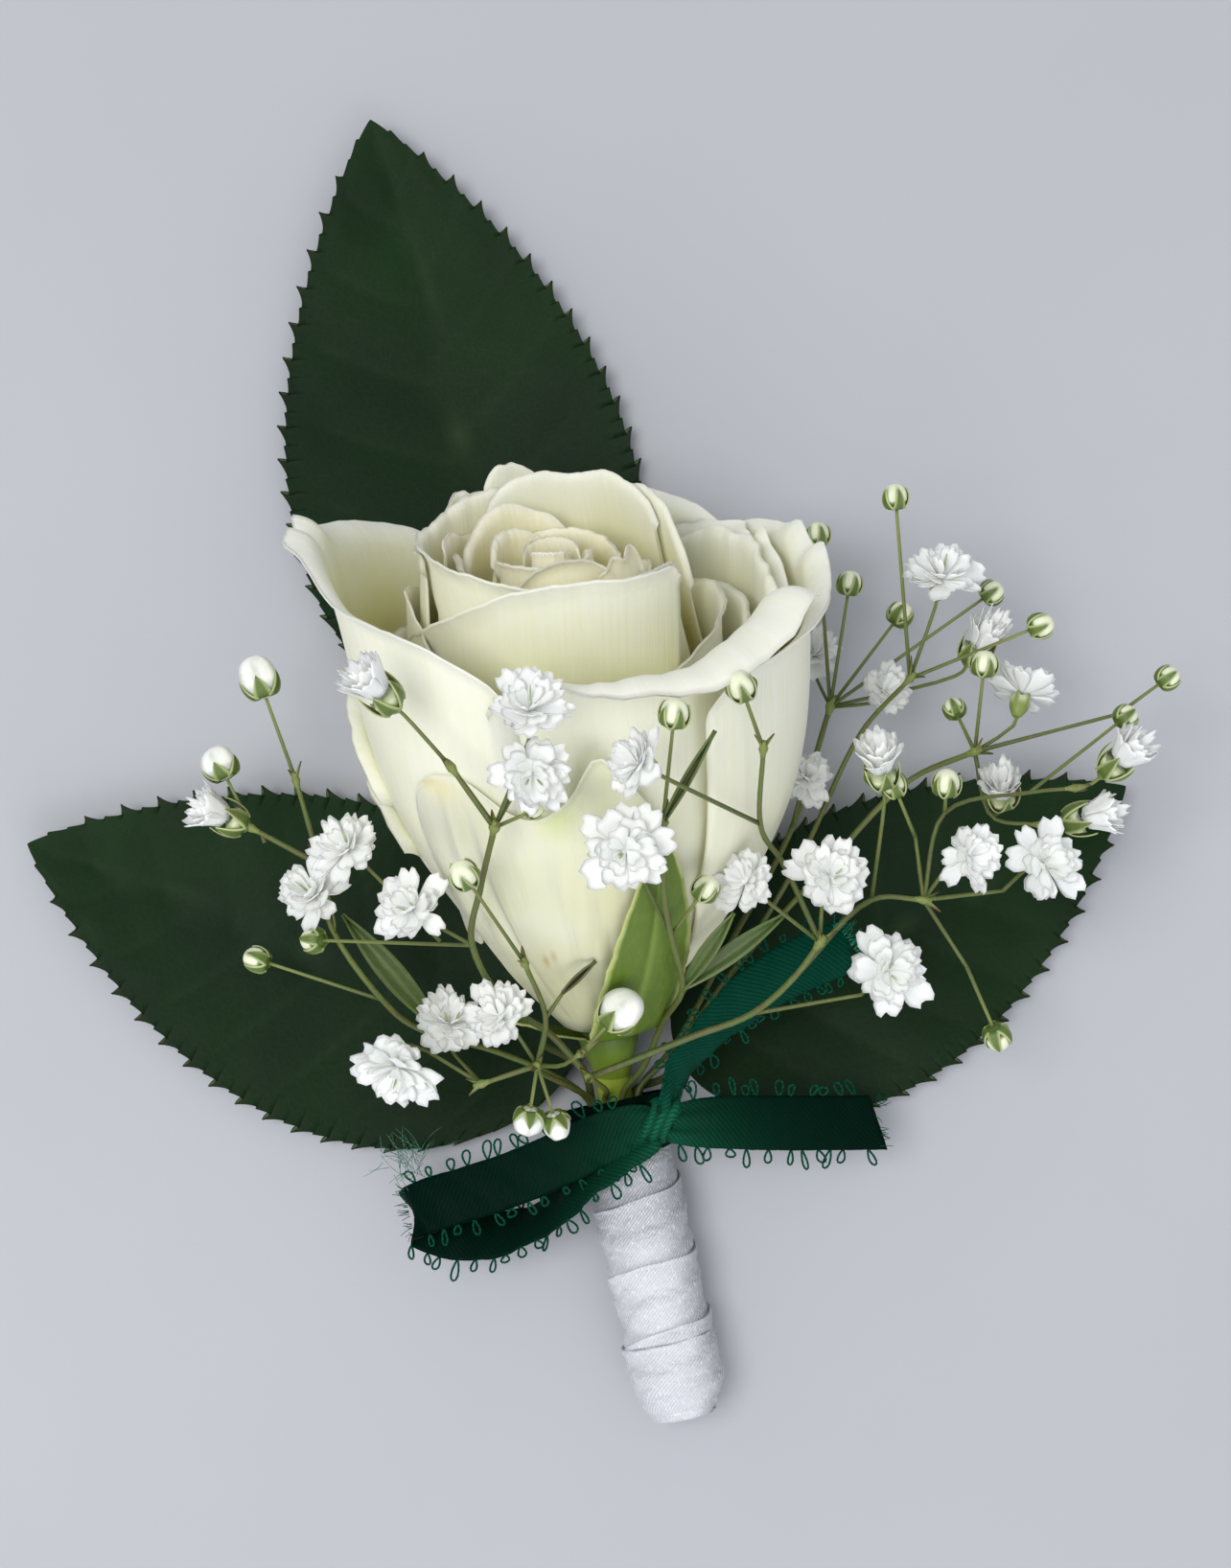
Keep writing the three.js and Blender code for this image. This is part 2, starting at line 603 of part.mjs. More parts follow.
function addFloret(at, facing, radius, form) {
  const disc = lobedDisc({ ...form, radius, thick: FLORET_THICK });
  const star = innerStar({
    points: 5, radius: radius * form.starReach, height: form.starHeight, depth: form.starDepth,
  });
  const solid = toSolid(disc).add(toSolid(star.rotateY(0.3)));
  const turn = new THREE.Quaternion().setFromUnitVectors(vec(0, 1, 0), place(facing).normalize());
  const matrix = new THREE.Matrix4().makeRotationFromQuaternion(turn).setPosition(place(at));
  floretCount += 1;
  const name = `floret_${String(floretCount).padStart(2, '0')}`;
  addPiece(name, solid.transform(matrix.elements), FLORET_WHITE);
}

// A spray of baby's breath: green stems, buds, calyxes and narrow leaves in one solid. Its white
// flowers are pieces of their own, just clear of their calyxes.
class Spray {
  constructor(name) {
    this.name = name;
    this.pieces = [];
    this.flowers = [];
  }

  stem(radius, ...places) {
    this.pieces.push(tube(radius, radius > 0.35 ? 4 : 3, places));
    return this;
  }

  // A closed bud at the end of its pedicel.
  bud(from, at, radius = 1.3, length = 3) {
    const direction = place(at).sub(place(from)).normalize();
    const body = new THREE.SphereGeometry(1, 5, 4).scale(radius, length / 2, radius);
    this.pieces.push(toSolid(aim(body, at, direction)));
    this.stem(PEDICEL_RADIUS, from, place(at).addScaledVector(direction, -length / 4));
    return this;
  }

  // A flower at the end of its pedicel, with its calyx behind it.
  flower(from, at, facing, radius = 4.6, form = OPEN) {
    const direction = place(facing).normalize();
    const behind = (distance) => place(at).addScaledVector(direction, -distance);
    const cup = [[0, 0], [0.45, 0], [CALYX_RADIUS, CALYX_LENGTH * 0.6], [CALYX_RADIUS, CALYX_LENGTH], [0, CALYX_LENGTH]];
    const calyx = new THREE.LatheGeometry(cup.map(([x, y]) => new THREE.Vector2(x, y)), 5);
    const low = behind(CALYX_TOP + CALYX_LENGTH);
    this.pieces.push(toSolid(aim(calyx, low, direction)));
    this.stem(PEDICEL_RADIUS, from, behind(CALYX_TOP + CALYX_LENGTH + 1.2), behind(CALYX_TOP + CALYX_LENGTH - 0.6));
    this.flowers.push([at, facing, radius, form]);
    return this;
  }

  // A narrow leaf from its root to its tip.
  leaf(root, tip, width) {
    const start = place(root);
    const along = place(tip).sub(start);
    const across = along.clone().cross(vec(0, 0, 1)).normalize();
    this.pieces.push(blade((u, v) => {
      const half = Math.max(0.3, (width / 2) * Math.sin(Math.PI * (0.12 + 0.86 * v)));
      const bow = vec(0, 0, 0.8 * Math.sin(Math.PI * v) + 0.35 * Math.abs(u));
      return start.clone().addScaledVector(along, v).addScaledVector(across, u * half).add(bow);
    }, 2, 5, 0.6));
    return this;
  }

  finish() {
    addPiece(this.name, fuse(this.pieces), STEM_GREEN);
    for (const flower of this.flowers) {
      addFloret(...flower);
    }
  }
}

const MAIN = THIN_STEM_RADIUS;
const SIDE = 0.38;
const FINE = PEDICEL_RADIUS;

function leftSpray() {
  const fork = [-22.5, 11, 14.5];
  const lower = [-26, 14, 18];
  const turn = [-31.5, 22, 20];
  const upper = [-32.5, 28.5, 22];
  const shared = [-40, 32.5, 22];
  new Spray('spray_left')
    .stem(MAIN, ...rootPlaces(180), [-7, 5.4, 7.6], [-14, 8.4, 10.6], fork, lower, turn, upper)
    .leaf([-20.5, 11.5, 13.8], [-31, 22.6, 16], 4.4)
    .bud(lower, [-40, 18.5, 16])
    .flower([-31, 21.3, 19.8], [-32.6, 25, 26.6], [-0.4, 0.4, 0.8], 4.2)
    .stem(SIDE, upper, [-35, 37.5, 24])
    .bud([-35, 37.5, 24], [-39, 48.5, 25], 2, 4.8)
    .stem(SIDE, upper, shared)
    .bud(shared, [-43.5, 39.5, 22], 1.9, 3.8)
    .flower([-38.6, 31, 21.6], [-42.6, 33.6, 22.4], [-0.85, 0.35, 0.4], 3, GOBLET)
    .finish();
}

function lowSpray() {
  const knob = [-9, 7, 23.2];
  const leftFork = [-15, 5, 22.5];
  const upperFork = [-8, 12, 28.4];
  const bend = [-10, 17.6, 35.6];
  new Spray('spray_low')
    .stem(MAIN, ...rootPlaces(148), [-5.6, 4.4, 10.2], [-8.6, 6, 15], knob)
    .bud(knob, [-10, 1, 20.5], 1.6, 3.2)
    .bud(knob, [-7, 0.5, 19.5], 1.5, 3.2)
    .stem(SIDE, knob, leftFork)
    .flower(leftFork, [-24, 6.8, 22.5], [-0.3, -0.6, 0.75], 5)
    .flower(leftFork, [-18.6, 11.4, 17.8], [0.1, 0.55, 0.8], 4.2)
    .stem(SIDE, knob, upperFork, bend)
    .bud(bend, [-15.6, 26, 48.6], 1.4, 3.2)
    .flower(knob, [-12.8, 12.2, 30.4], [-0.25, 0.2, 0.95], 3.8)
    .bud([-4, 8.6, 24.6], [0, 13, 31], 2.2, 4.6)
    .stem(FINE, knob, [-4, 8.6, 24.6])
    .finish();
}

function frontSpray() {
  const fork = [-3.5, 5.6, 17];
  const high = [-15.5, 19.5, 33];
  const top = [-12.5, 30.5, 50.6];
  const left = [-16.5, 36, 54.6];
  const low = [7.5, 10, 20];
  const bracts = [14, 12.5, 22];
  const right = [18.5, 16.5, 25];
  const crown = [21, 20, 27];
  const middle = [26.5, 24.5, 27];
  const wide = [32, 24.5, 27];
  const across = [34, 33.5, 30];
  const far = [43.5, 36, 26];
  const end = [48.4, 36.6, 24.6];
  const pair = [14, 31.5, 41.5];
  new Spray('spray_front')
    .stem(MAIN, ...rootPlaces(112), [-1.6, 4, 12], fork)
    .stem(MAIN, fork, [-7.6, 10.2, 19.6], [-12.4, 13.6, 26], high, [-14.2, 25, 43], top)
    .bud(high, [-33.5, 20.5, 19])
    .flower(high, [-21.7, 23.2, 35.2], [-0.25, 0.2, 0.9], 4.2)
    .flower([-19, 20, 30.4], [-28.6, 29.6, 31.6], [-0.35, 0.35, 0.85], 4.2)
    .stem(SIDE, top, left)
    .flower(left, [-23.2, 43, 57], [-0.6, 0.55, 0.6], 3, GOBLET)
    .bud(top, [-8.5, 32, 53], 0.8, 1.8)
    .flower(top, [-8.6, 35, 57.6], [0.1, -0.3, 1], 4.1)
    .flower(top, [-8.8, 40.8, 61.6], [0, 0.5, 0.87], 4.1)
    .stem(MAIN, fork, low, bracts, right, crown)
    .flower(crown, [21.6, 26.6, 33.6], [0.1, 0.2, 0.97], 4.6)
    .flower(crown, [12.7, 25.8, 37.4], [-0.3, 0.2, 0.93], 3.6)
    .stem(FINE, bracts, [25.5, 14.5, 25.6])
    .flower([25.5, 14.5, 25.6], [28, 17, 29.6], [0.2, -0.1, 1], 4.6)
    .stem(SIDE, right, middle, wide)
    .flower(wide, [36.4, 28.8, 32], [0.3, 0, 0.95], 4)
    .flower([40.5, 25.5, 26.4], [44.6, 28.2, 28.8], [0.25, 0, 0.95], 4.4)
    .stem(FINE, wide, [40.5, 25.5, 26.4])
    .stem(FINE, wide, [37, 17.5, 23])
    .bud([37, 17.5, 23], [41, 10, 17], 1.4, 3.2)
    .stem(FINE, wide, [31, 31, 29])
    .bud([31, 31, 29], [28.5, 36.5, 31])
    .flower(middle, [27, 37.8, 33.6], [-0.15, 0.6, 0.7], 3, GOBLET)
    .stem(FINE, wide, across, far, end)
    .bud(across, [34, 36.5, 32], 1.4, 3)
    .bud(far, [54.5, 44.5, 23], 1.2, 2.6)
    .flower(end, [53, 39.4, 26.2], [0.6, 0.55, 0.5], 2.8, GOBLET)
    .stem(SIDE, crown, [17.2, 27.6, 31], pair, [14, 38.5, 48])
    .bud([14, 38.5, 48], [11.5, 44, 54.6], 1.4, 3.2)
    .flower(pair, [1.6, 35.8, 60.4], [-0.7, 0.3, 0.7], 3.6)
    .finish();
}

function centreSpray() {
  const low = [4.4, 11.4, 17.2];
  const fork = [6.4, 15.2, 28.6];
  const middle = [5, 20.4, 38.2];
  const bend = [4.2, 24.4, 43.8];
  const upper = [4, 31, 50.6];
  new Spray('spray_centre')
    .stem(MAIN, ...rootPlaces(72), [2.4, 6.6, 11.4], low, fork, middle, bend, upper)
    .flower(middle, [0.4, 28.2, 52.6], [0, -0.15, 1], 4.6)
    .bud(middle, [8.5, 25, 41.6], 1.3, 2.8)
    .bud(upper, [5, 41, 57.6], 1.4, 3)
    .leaf(upper, [9, 39.6, 54.4], 1.6)
    .leaf(fork, [17.4, 23, 29.4], 2.6)
    .leaf(fork, [11.6, 22.8, 34.6], 2.2)
    .finish();
}

function rightSpray() {
  const low = [13, 18, 10.5];
  const inner = [31.5, 38, 16.5];
  const outer = [38.5, 41, 20];
  const forward = [40.5, 34, 18.4];
  const upper = [26.5, 43.5, 15.5];
  const crown = [31.5, 49, 20];
  new Spray('spray_right')
    .stem(MAIN, ...rootPlaces(22), [5.6, 8, 8], low, [22, 28, 13], inner, outer)
    .bud(outer, [39, 50, 25], 1.4, 2.8)
    .bud(outer, [36.6, 46, 17.5], 1.1, 2.4)
    .flower(outer, [44, 47.4, 18], [0.25, 0.75, -0.3], 4.2)
    .stem(FINE, outer, [54, 45, 21])
    .bud([54, 45, 21], [59.5, 49, 21], 1.2, 2.6)
    .stem(FINE, outer, forward, [45.4, 33, 20])
    .flower([45.4, 33, 20], [50, 33.6, 21.6], [0.85, 0.2, 0.3], 2.8, GOBLET)
    .flower(forward, [41.2, 36.4, 21.4], [-0.1, 0.4, 0.85], 2.8, GOBLET)
    .stem(SIDE, low, [20, 30, 13], upper, crown)
    .bud(crown, [29.5, 68, 26], 1.3, 2.8)
    .flower(crown, [34.5, 59.2, 25], [0.1, 0.65, 0.7], 4.6)
    .bud(crown, [45, 54, 26], 1.3, 2.8)
    .finish();
}

function backSpray() {
  const low = [19, 33, 10];
  const fork = [23.5, 47, 10.5];
  new Spray('spray_back')
    .stem(MAIN, ...rootPlaces(352), [6, 9, 5.8], [12, 20, 6.6], low, fork)
    .bud(fork, [25.5, 60.5, 14], 1.3, 2.8)
    .bud(fork, [22, 66, 14], 1.3, 2.8)
    .bud(fork, [31.5, 57.5, 10.5], 1.4, 2.8)
    .bud(fork, [41, 59, 17], 1.3, 2.6)
    .flower(fork, [39.4, 53, 16.5], [0.4, 0.65, 0.6], 2.8, GOBLET)
    .flower(fork, [29.2, 48.2, 14.6], [0.2, 0.2, 0.95], 3.2)
    .flower(fork, [21.8, 53.4, 7.2], [-0.1, 0.4, 0.9], 3.4)
    .flower(low, [20.4, 38.4, 16.8], [0.05, 0.15, 0.95], 3.4)
    .finish();
}

satinWrap();
floralTape();
greenRibbon();
roseStem();
roseBloom();
roseLeaves();
leftSpray();
lowSpray();
frontSpray();
centreSpray();
rightSpray();
backSpray();

export default boutonniere;
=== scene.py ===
"""A boutonniere lying on a surface: a white rose, its leaves, baby's breath, satin and ribbon."""

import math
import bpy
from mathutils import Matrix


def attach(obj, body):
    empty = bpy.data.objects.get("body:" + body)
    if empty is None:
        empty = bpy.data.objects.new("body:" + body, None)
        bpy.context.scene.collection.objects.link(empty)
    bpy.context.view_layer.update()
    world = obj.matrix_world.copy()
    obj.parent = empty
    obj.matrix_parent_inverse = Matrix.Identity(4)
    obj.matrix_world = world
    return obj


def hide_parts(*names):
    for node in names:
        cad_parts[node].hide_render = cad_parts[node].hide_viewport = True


bl_info = {
    "name": "Boutonniere",
    "version": (1, 0, 0),
    "blender": (4, 5, 0),
    "location": "View3D > Sidebar > Boutonniere",
    "description": "Builds the petals, leaves, sprays, wrap and ribbon of a boutonniere",
    "category": "Add Mesh",
}

import bmesh
import bpy
import numpy as np
from mathutils import Matrix, Vector

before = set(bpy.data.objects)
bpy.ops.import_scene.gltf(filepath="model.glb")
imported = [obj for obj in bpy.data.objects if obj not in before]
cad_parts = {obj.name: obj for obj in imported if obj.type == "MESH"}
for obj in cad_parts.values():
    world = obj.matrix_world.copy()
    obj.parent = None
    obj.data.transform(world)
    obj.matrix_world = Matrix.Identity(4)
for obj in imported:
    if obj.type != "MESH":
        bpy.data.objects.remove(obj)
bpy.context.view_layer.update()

MM = 0.001

# The camera and the floor, in metres.
CAMERA_PLACE = (-0.00065, 0.01044, 0.32875)
CAMERA_TARGET = (-0.00065, 0.0392, 0.0)
CAMERA_LENS = 65.35
CAMERA_SENSOR = 36.0
FLOOR_HALF = 1.6
FLOOR_DROP = 0.0001
ROOM_COLOUR = (0.86, 0.88, 0.92, 1)
ROOM_LIGHT = 0.72

# The tied stems, in millimetres from the middle of the ribbon's ring.
BUNDLE_TURN = math.radians(12.7)
WRAP_FLAT = 4.95
WRAP_TOP = 2.0
WRAP_END = -33.0
WRAP_BEGIN = WRAP_TOP + 0.2
WRAP_RADIUS = 4.76
WRAP_PITCH = 7.6
WRAP_START_ANGLE = 1.1
LEVEL_TURNS = 0.75
CLOSING_TURNS = 1.5
RING_FLAT = 5.85
RING_RADIUS = 6.02
RING_OPENING = 0.33
BUNDLE_TILT = math.atan((RING_FLAT - WRAP_FLAT) / -WRAP_END)
TAPE_RADIUS = 4.15
TAPE_TOP = 2.6
THIN_STEM_RING = 2.9

# The rose's foot, in millimetres in the part's frame, and the way that it leans.
ROSE_BASE = np.array((-1.7, 12.3, 10.0))
ROSE_LEAN = math.radians(6.8)
ROSE_RISE = math.radians(27)


def rgb(red, green, blue):
    """The linear colour of a colour given as 0 to 255."""
    parts = np.array((red, green, blue)) / 255
    return np.where(parts > 0.04, ((parts + 0.055) / 1.055) ** 2.4, parts / 12.92)


def length_property(name, description, millimetres):
    return bpy.props.FloatProperty(
        name=name, description=description, default=millimetres * MM,
        min=0.02 * MM, max=20 * MM, precision=5, unit="LENGTH",
    )


def colour_property(name, description, *parts):
    return bpy.props.FloatVectorProperty(
        name=name, description=description, default=tuple(float(x) for x in rgb(*parts)),
        min=0, max=1, size=3, subtype="COLOR",
    )


class BoutonniereSizes(bpy.types.PropertyGroup):
    """Sizes that a maker may change."""

    petal: length_property("Petal thickness", "Thickness of a rose petal near its foot", 0.5)
    leaf: length_property("Leaf thickness", "Thickness of a rose leaf at its midrib", 0.42)
    floret: length_property("Floret petal", "Thickness of a petal of baby's breath", 0.1)
    main_stem: length_property("Main stem", "Radius of a spray's main stem", 0.38)
    side_stem: length_property("Side stem", "Radius of a spray's side stems", 0.31)
    fine_stem: length_property("Fine stem", "Radius of a spray's finest stems", 0.24)
    satin_width: length_property("Satin width", "Width of the white satin strip", 10.5)
    satin: length_property("Satin thickness", "Thickness of the white satin strip", 0.22)
    ribbon_width: length_property("Ribbon width", "Width of the ribbon without its loops", 6.0)
    ribbon: length_property("Ribbon thickness", "Thickness of the green ribbon", 0.26)
    picot: length_property("Picot thread", "Radius of the thread of the ribbon's edge loops", 0.13)


class BoutonniereColours(bpy.types.PropertyGroup):
    """Colours that a maker may change."""

    petal: colour_property("Petal", "Outside of the rose's petals", 240, 240, 218)
    petal_depth: colour_property("Petal depth", "Rose petals where they lie deep", 210, 206, 134)
    petal_foot: colour_property("Petal foot", "Foot of the rose's petals", 214, 214, 164)
    sepal: colour_property("Sepal", "Sepals of the rose", 86, 112, 24)
    rose_stem: colour_property("Rose stem", "Stem of the rose", 138, 164, 48)
    leaf: colour_property("Leaf", "Upper face of the rose leaves", 19, 39, 19)
    leaf_vein: colour_property("Leaf vein", "Midrib of the rose leaves", 48, 66, 42)
    floret: colour_property("Floret", "Flowers of the baby's breath", 253, 254, 250)
    sprig: colour_property("Sprig", "Stems of the baby's breath", 72, 86, 36)
    tape: colour_property("Stem tape", "Floral tape round the stems", 30, 50, 36)
    satin: colour_property("Satin", "White satin strip", 158, 161, 168)
    ribbon: colour_property("Ribbon", "Green ribbon", 1, 18, 12)
    floor: colour_property("Floor", "Floor that the boutonniere lies on", 176, 178, 184)


def size(name):
    """A chosen size in millimetres."""
    return getattr(bpy.context.scene.boutonniere_sizes, name) / MM


def colour(name):
    """A chosen linear colour."""
    return np.array(getattr(bpy.context.scene.boutonniere_colours, name))


def mix(a, b, part):
    return a + (b - a) * part


def blend(a, b, part):
    """Colours between a and b for an array of parts."""
    part = np.clip(part, 0, 1)[..., None]
    return np.asarray(a) * (1 - part) + np.asarray(b) * part


def unit(vectors):
    vectors = np.asarray(vectors, float)
    return vectors / np.maximum(np.linalg.norm(vectors, axis=-1, keepdims=True), 1e-9)


def points_of(x, y, z):
    """Points from their three parts, each of which may be a number, a row or a column."""
    return np.stack(np.broadcast_arrays(x, y, z), axis=-1)


def across_and_along(columns, rows):
    """A row from -1 to 1 across a sheet, and a column from 0 to 1 along it."""
    return np.linspace(-1, 1, columns)[None, :], np.linspace(0, 1, rows)[:, None]


def circle(sides):
    """Angles spread evenly over a full turn."""
    return np.linspace(0, 2 * math.pi, sides, endpoint=False)


def turned_by(angle, out, side):
    """The x and y of what lies outwards and sideways in a direction."""
    return (
        out * math.cos(angle) - side * math.sin(angle),
        out * math.sin(angle) + side * math.cos(angle),
    )


def smoothstep(low, high, value):
    part = np.clip((value - low) / (high - low), 0, 1)
    return part * part * (3 - 2 * part)


def bump_at(value, centre, width):
    return np.exp(-(((value - centre) / width) ** 2))


def ripple(value, seed, counts=(3, 7, 13)):
    """A wavy line from -1 to 1 that never repeats, the same for the same seed."""
    dice = np.random.default_rng(seed)
    total = np.zeros_like(np.asarray(value, float))
    for count in counts:
        phase = dice.uniform(0, 2 * math.pi)
        total = total + np.sin(count * value + phase) * (counts[0] / count) ** 0.8
    return total / sum((counts[0] / count) ** 0.8 for count in counts)


def along_list(values, u):
    """A smooth curve through values spread evenly over u from -1 to 1."""
    values = np.asarray(values, float)
    where = np.clip((u + 1) / 2, 0, 1) * (len(values) - 1)
    before = np.minimum(np.floor(where).astype(int), len(values) - 2)
    part = where - before
    padded = np.concatenate(([2 * values[0] - values[1]], values, [2 * values[-1] - values[-2]]))
    a, b, c, d = (padded[before + k] for k in range(4))
    return 0.5 * (
        2 * b
        + (c - a) * part
        + (2 * a - 5 * b + 4 * c - d) * part**2
        + (3 * b - a - 3 * c + d) * part**3
    )


def curve_through(places, count, even=False):
    """Points on a centripetal Catmull-Rom curve through places, and each point's part of it."""
    places = np.asarray(places, float)
    ends = (2 * places[0] - places[1], 2 * places[-1] - places[-2])
    padded = np.vstack((ends[0], places, ends[1]))

    def points_at(parts):
        where = np.clip(parts, 0, 1) * (len(places) - 1)
        before = np.minimum(np.floor(where).astype(int), len(places) - 2)
        t = (where - before)[:, None]
        a, b, c, d = (padded[before + k] for k in range(4))
        gaps = [
            np.maximum(np.linalg.norm(q - p, axis=1, keepdims=True), 1e-6) ** 0.5
            for p, q in ((a, b), (b, c), (c, d))
        ]
        start = ((b - a) / gaps[0] - (c - a) / (gaps[0] + gaps[1]) + (c - b) / gaps[1]) * gaps[1]
        finish = ((c - b) / gaps[1] - (d - b) / (gaps[1] + gaps[2]) + (d - c) / gaps[2]) * gaps[1]
        return (
            b
            + start * t
            + (3 * (c - b) - 2 * start - finish) * t**2
            + (2 * (b - c) + start + finish) * t**3
        )

    if not even:
        return points_at(np.linspace(0, 1, count))
    fine = np.linspace(0, 1, 800)
    steps = np.linalg.norm(np.diff(points_at(fine), axis=0), axis=1)
    length = np.concatenate(([0], np.cumsum(steps)))
    return points_at(np.interp(np.linspace(0, length[-1], count), length, fine))


class Form:
    """One piece in the making: a bmesh in millimetres, with a colour and texture place by point."""

    def __init__(self):
        self.mesh = bmesh.new()
        self.tint = self.mesh.verts.layers.float_color.new("tint")
        self.place = self.mesh.verts.layers.float_vector.new("place")
        self.number = self.mesh.verts.layers.int.new("number")

    def settle(self, verts, points, colours, places):
        """Moves numbered points to where they belong, and colours them."""
        points = points.reshape(-1, 3).tolist()
        colours = colours.reshape(-1, 3).tolist()
        places = places.reshape(-1, 3).tolist()
        for vert in verts:
            number = vert[self.number]
            vert.co = points[number]
            vert[self.tint] = (*colours[number], 1)
            vert[self.place] = places[number]

    def sheet(self, grid, thick, colours, places=(0, 0, 0), under=None):
        """Adds a thin closed body about a grid of points, coloured alike or apart on its faces."""
        rows, columns = grid.shape[:2]
        normal = unit(np.cross(np.gradient(grid, axis=1), np.gradient(grid, axis=0)))
        half = normal * np.broadcast_to(np.asarray(thick, float) / 2, (rows, columns))[..., None]
        colours = np.broadcast_to(colours, (rows, columns, 3))
        under = colours if under is None else np.broadcast_to(under, (rows, columns, 3))
        places = np.broadcast_to(places, (rows, columns, 3))
        below = bmesh.ops.create_grid(
            self.mesh, x_segments=columns - 1, y_segments=rows - 1, size=1
        )["verts"]
        for number, vert in enumerate(below):
            vert[self.number] = number
        faces = list(dict.fromkeys(face for vert in below for face in vert.link_faces))
        grown = bmesh.ops.extrude_face_region(self.mesh, geom=faces, use_keep_orig=True)["geom"]
        above = [item for item in grown if isinstance(item, bmesh.types.BMVert)]
        bmesh.ops.reverse_faces(self.mesh, faces=faces)
        self.settle(below, grid - half, under, places)
        self.settle(above, grid + half, colours, places)

    def loft(self, rings, colours):
        """Adds a closed body through a list of rings with equal numbers of points."""
        rings = np.asarray(rings, float)
        count, sides = rings.shape[:2]
        middles = rings.mean(axis=1)
        spread = rings[:-1] - middles[:-1, None]
        winding = np.cross(spread, np.roll(spread, -1, axis=1)).sum(axis=1)
        sense = 1 if (winding * np.diff(middles, axis=0)).sum() > 0 else -1
        start = len(self.mesh.verts)
        ends = bmesh.ops.create_cone(
            self.mesh, cap_ends=True, segments=sides, radius1=1, radius2=1, depth=1
        )["verts"]
        edges = dict.fromkeys(edge for vert in ends for edge in vert.link_edges)
        lengthwise = [e for e in edges if abs(e.verts[0].co.z - e.verts[1].co.z) > 0.5]
        if count > 2:
            bmesh.ops.subdivide_edges(self.mesh, edges=lengthwise, cuts=count - 2)
        verts = list(self.mesh.verts)[start:]
        for vert in verts:
            ring = round((vert.co.z + 0.5) * (count - 1))
            side = round(math.atan2(vert.co.y, vert.co.x) * sides / (2 * math.pi)) * sense
            vert[self.number] = ring * sides + side % sides
        colours = np.broadcast_to(colours, (count, sides, 3))
        self.settle(verts, rings, colours, rings)

    def tube(self, places, radii, colours, sides=6):
        """Adds a closed tube along a line of points."""
        places = np.asarray(places, float)
        ahead = unit(np.gradient(places, axis=0))
        across = np.array((0.0, 0.0, 1.0)) if abs(ahead[0][2]) < 0.8 else np.array((1.0, 0.0, 0.0))
        radii = np.broadcast_to(radii, (len(places),))
        turns = circle(sides)[:, None]
        rings = []
        for place, direction, radius in zip(places, ahead, radii):
            across = unit(across - direction * across.dot(direction))
            up = np.cross(direction, across)
            rings.append(place + radius * (across * np.cos(turns) + up * np.sin(turns)))
        colours = np.asarray(colours, float)
        if colours.ndim == 2:
            colours = colours[:, None, :]
        self.loft(rings, colours)

    def piece(self, name, surface, slot, *nodes):
        """Makes the piece, which replaces its solids and rides on the whole."""
        if not self.mesh.faces:
            raise RuntimeError(f"{name} has no faces")
        for face in self.mesh.faces:
            face.smooth = True
        self.mesh.verts.layers.int.remove(self.number)
        bmesh.ops.scale(self.mesh, vec=(MM, MM, MM), verts=self.mesh.verts)
        mesh = bpy.data.meshes.new(name)
        self.mesh.to_mesh(mesh)
        self.mesh.free()
        mesh.materials.append(surface)
        piece = bpy.data.objects.new(name, mesh)
        bpy.context.scene.collection.objects.link(piece)
        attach(piece, "root")
        if nodes:
            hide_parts(*nodes)
        return piece


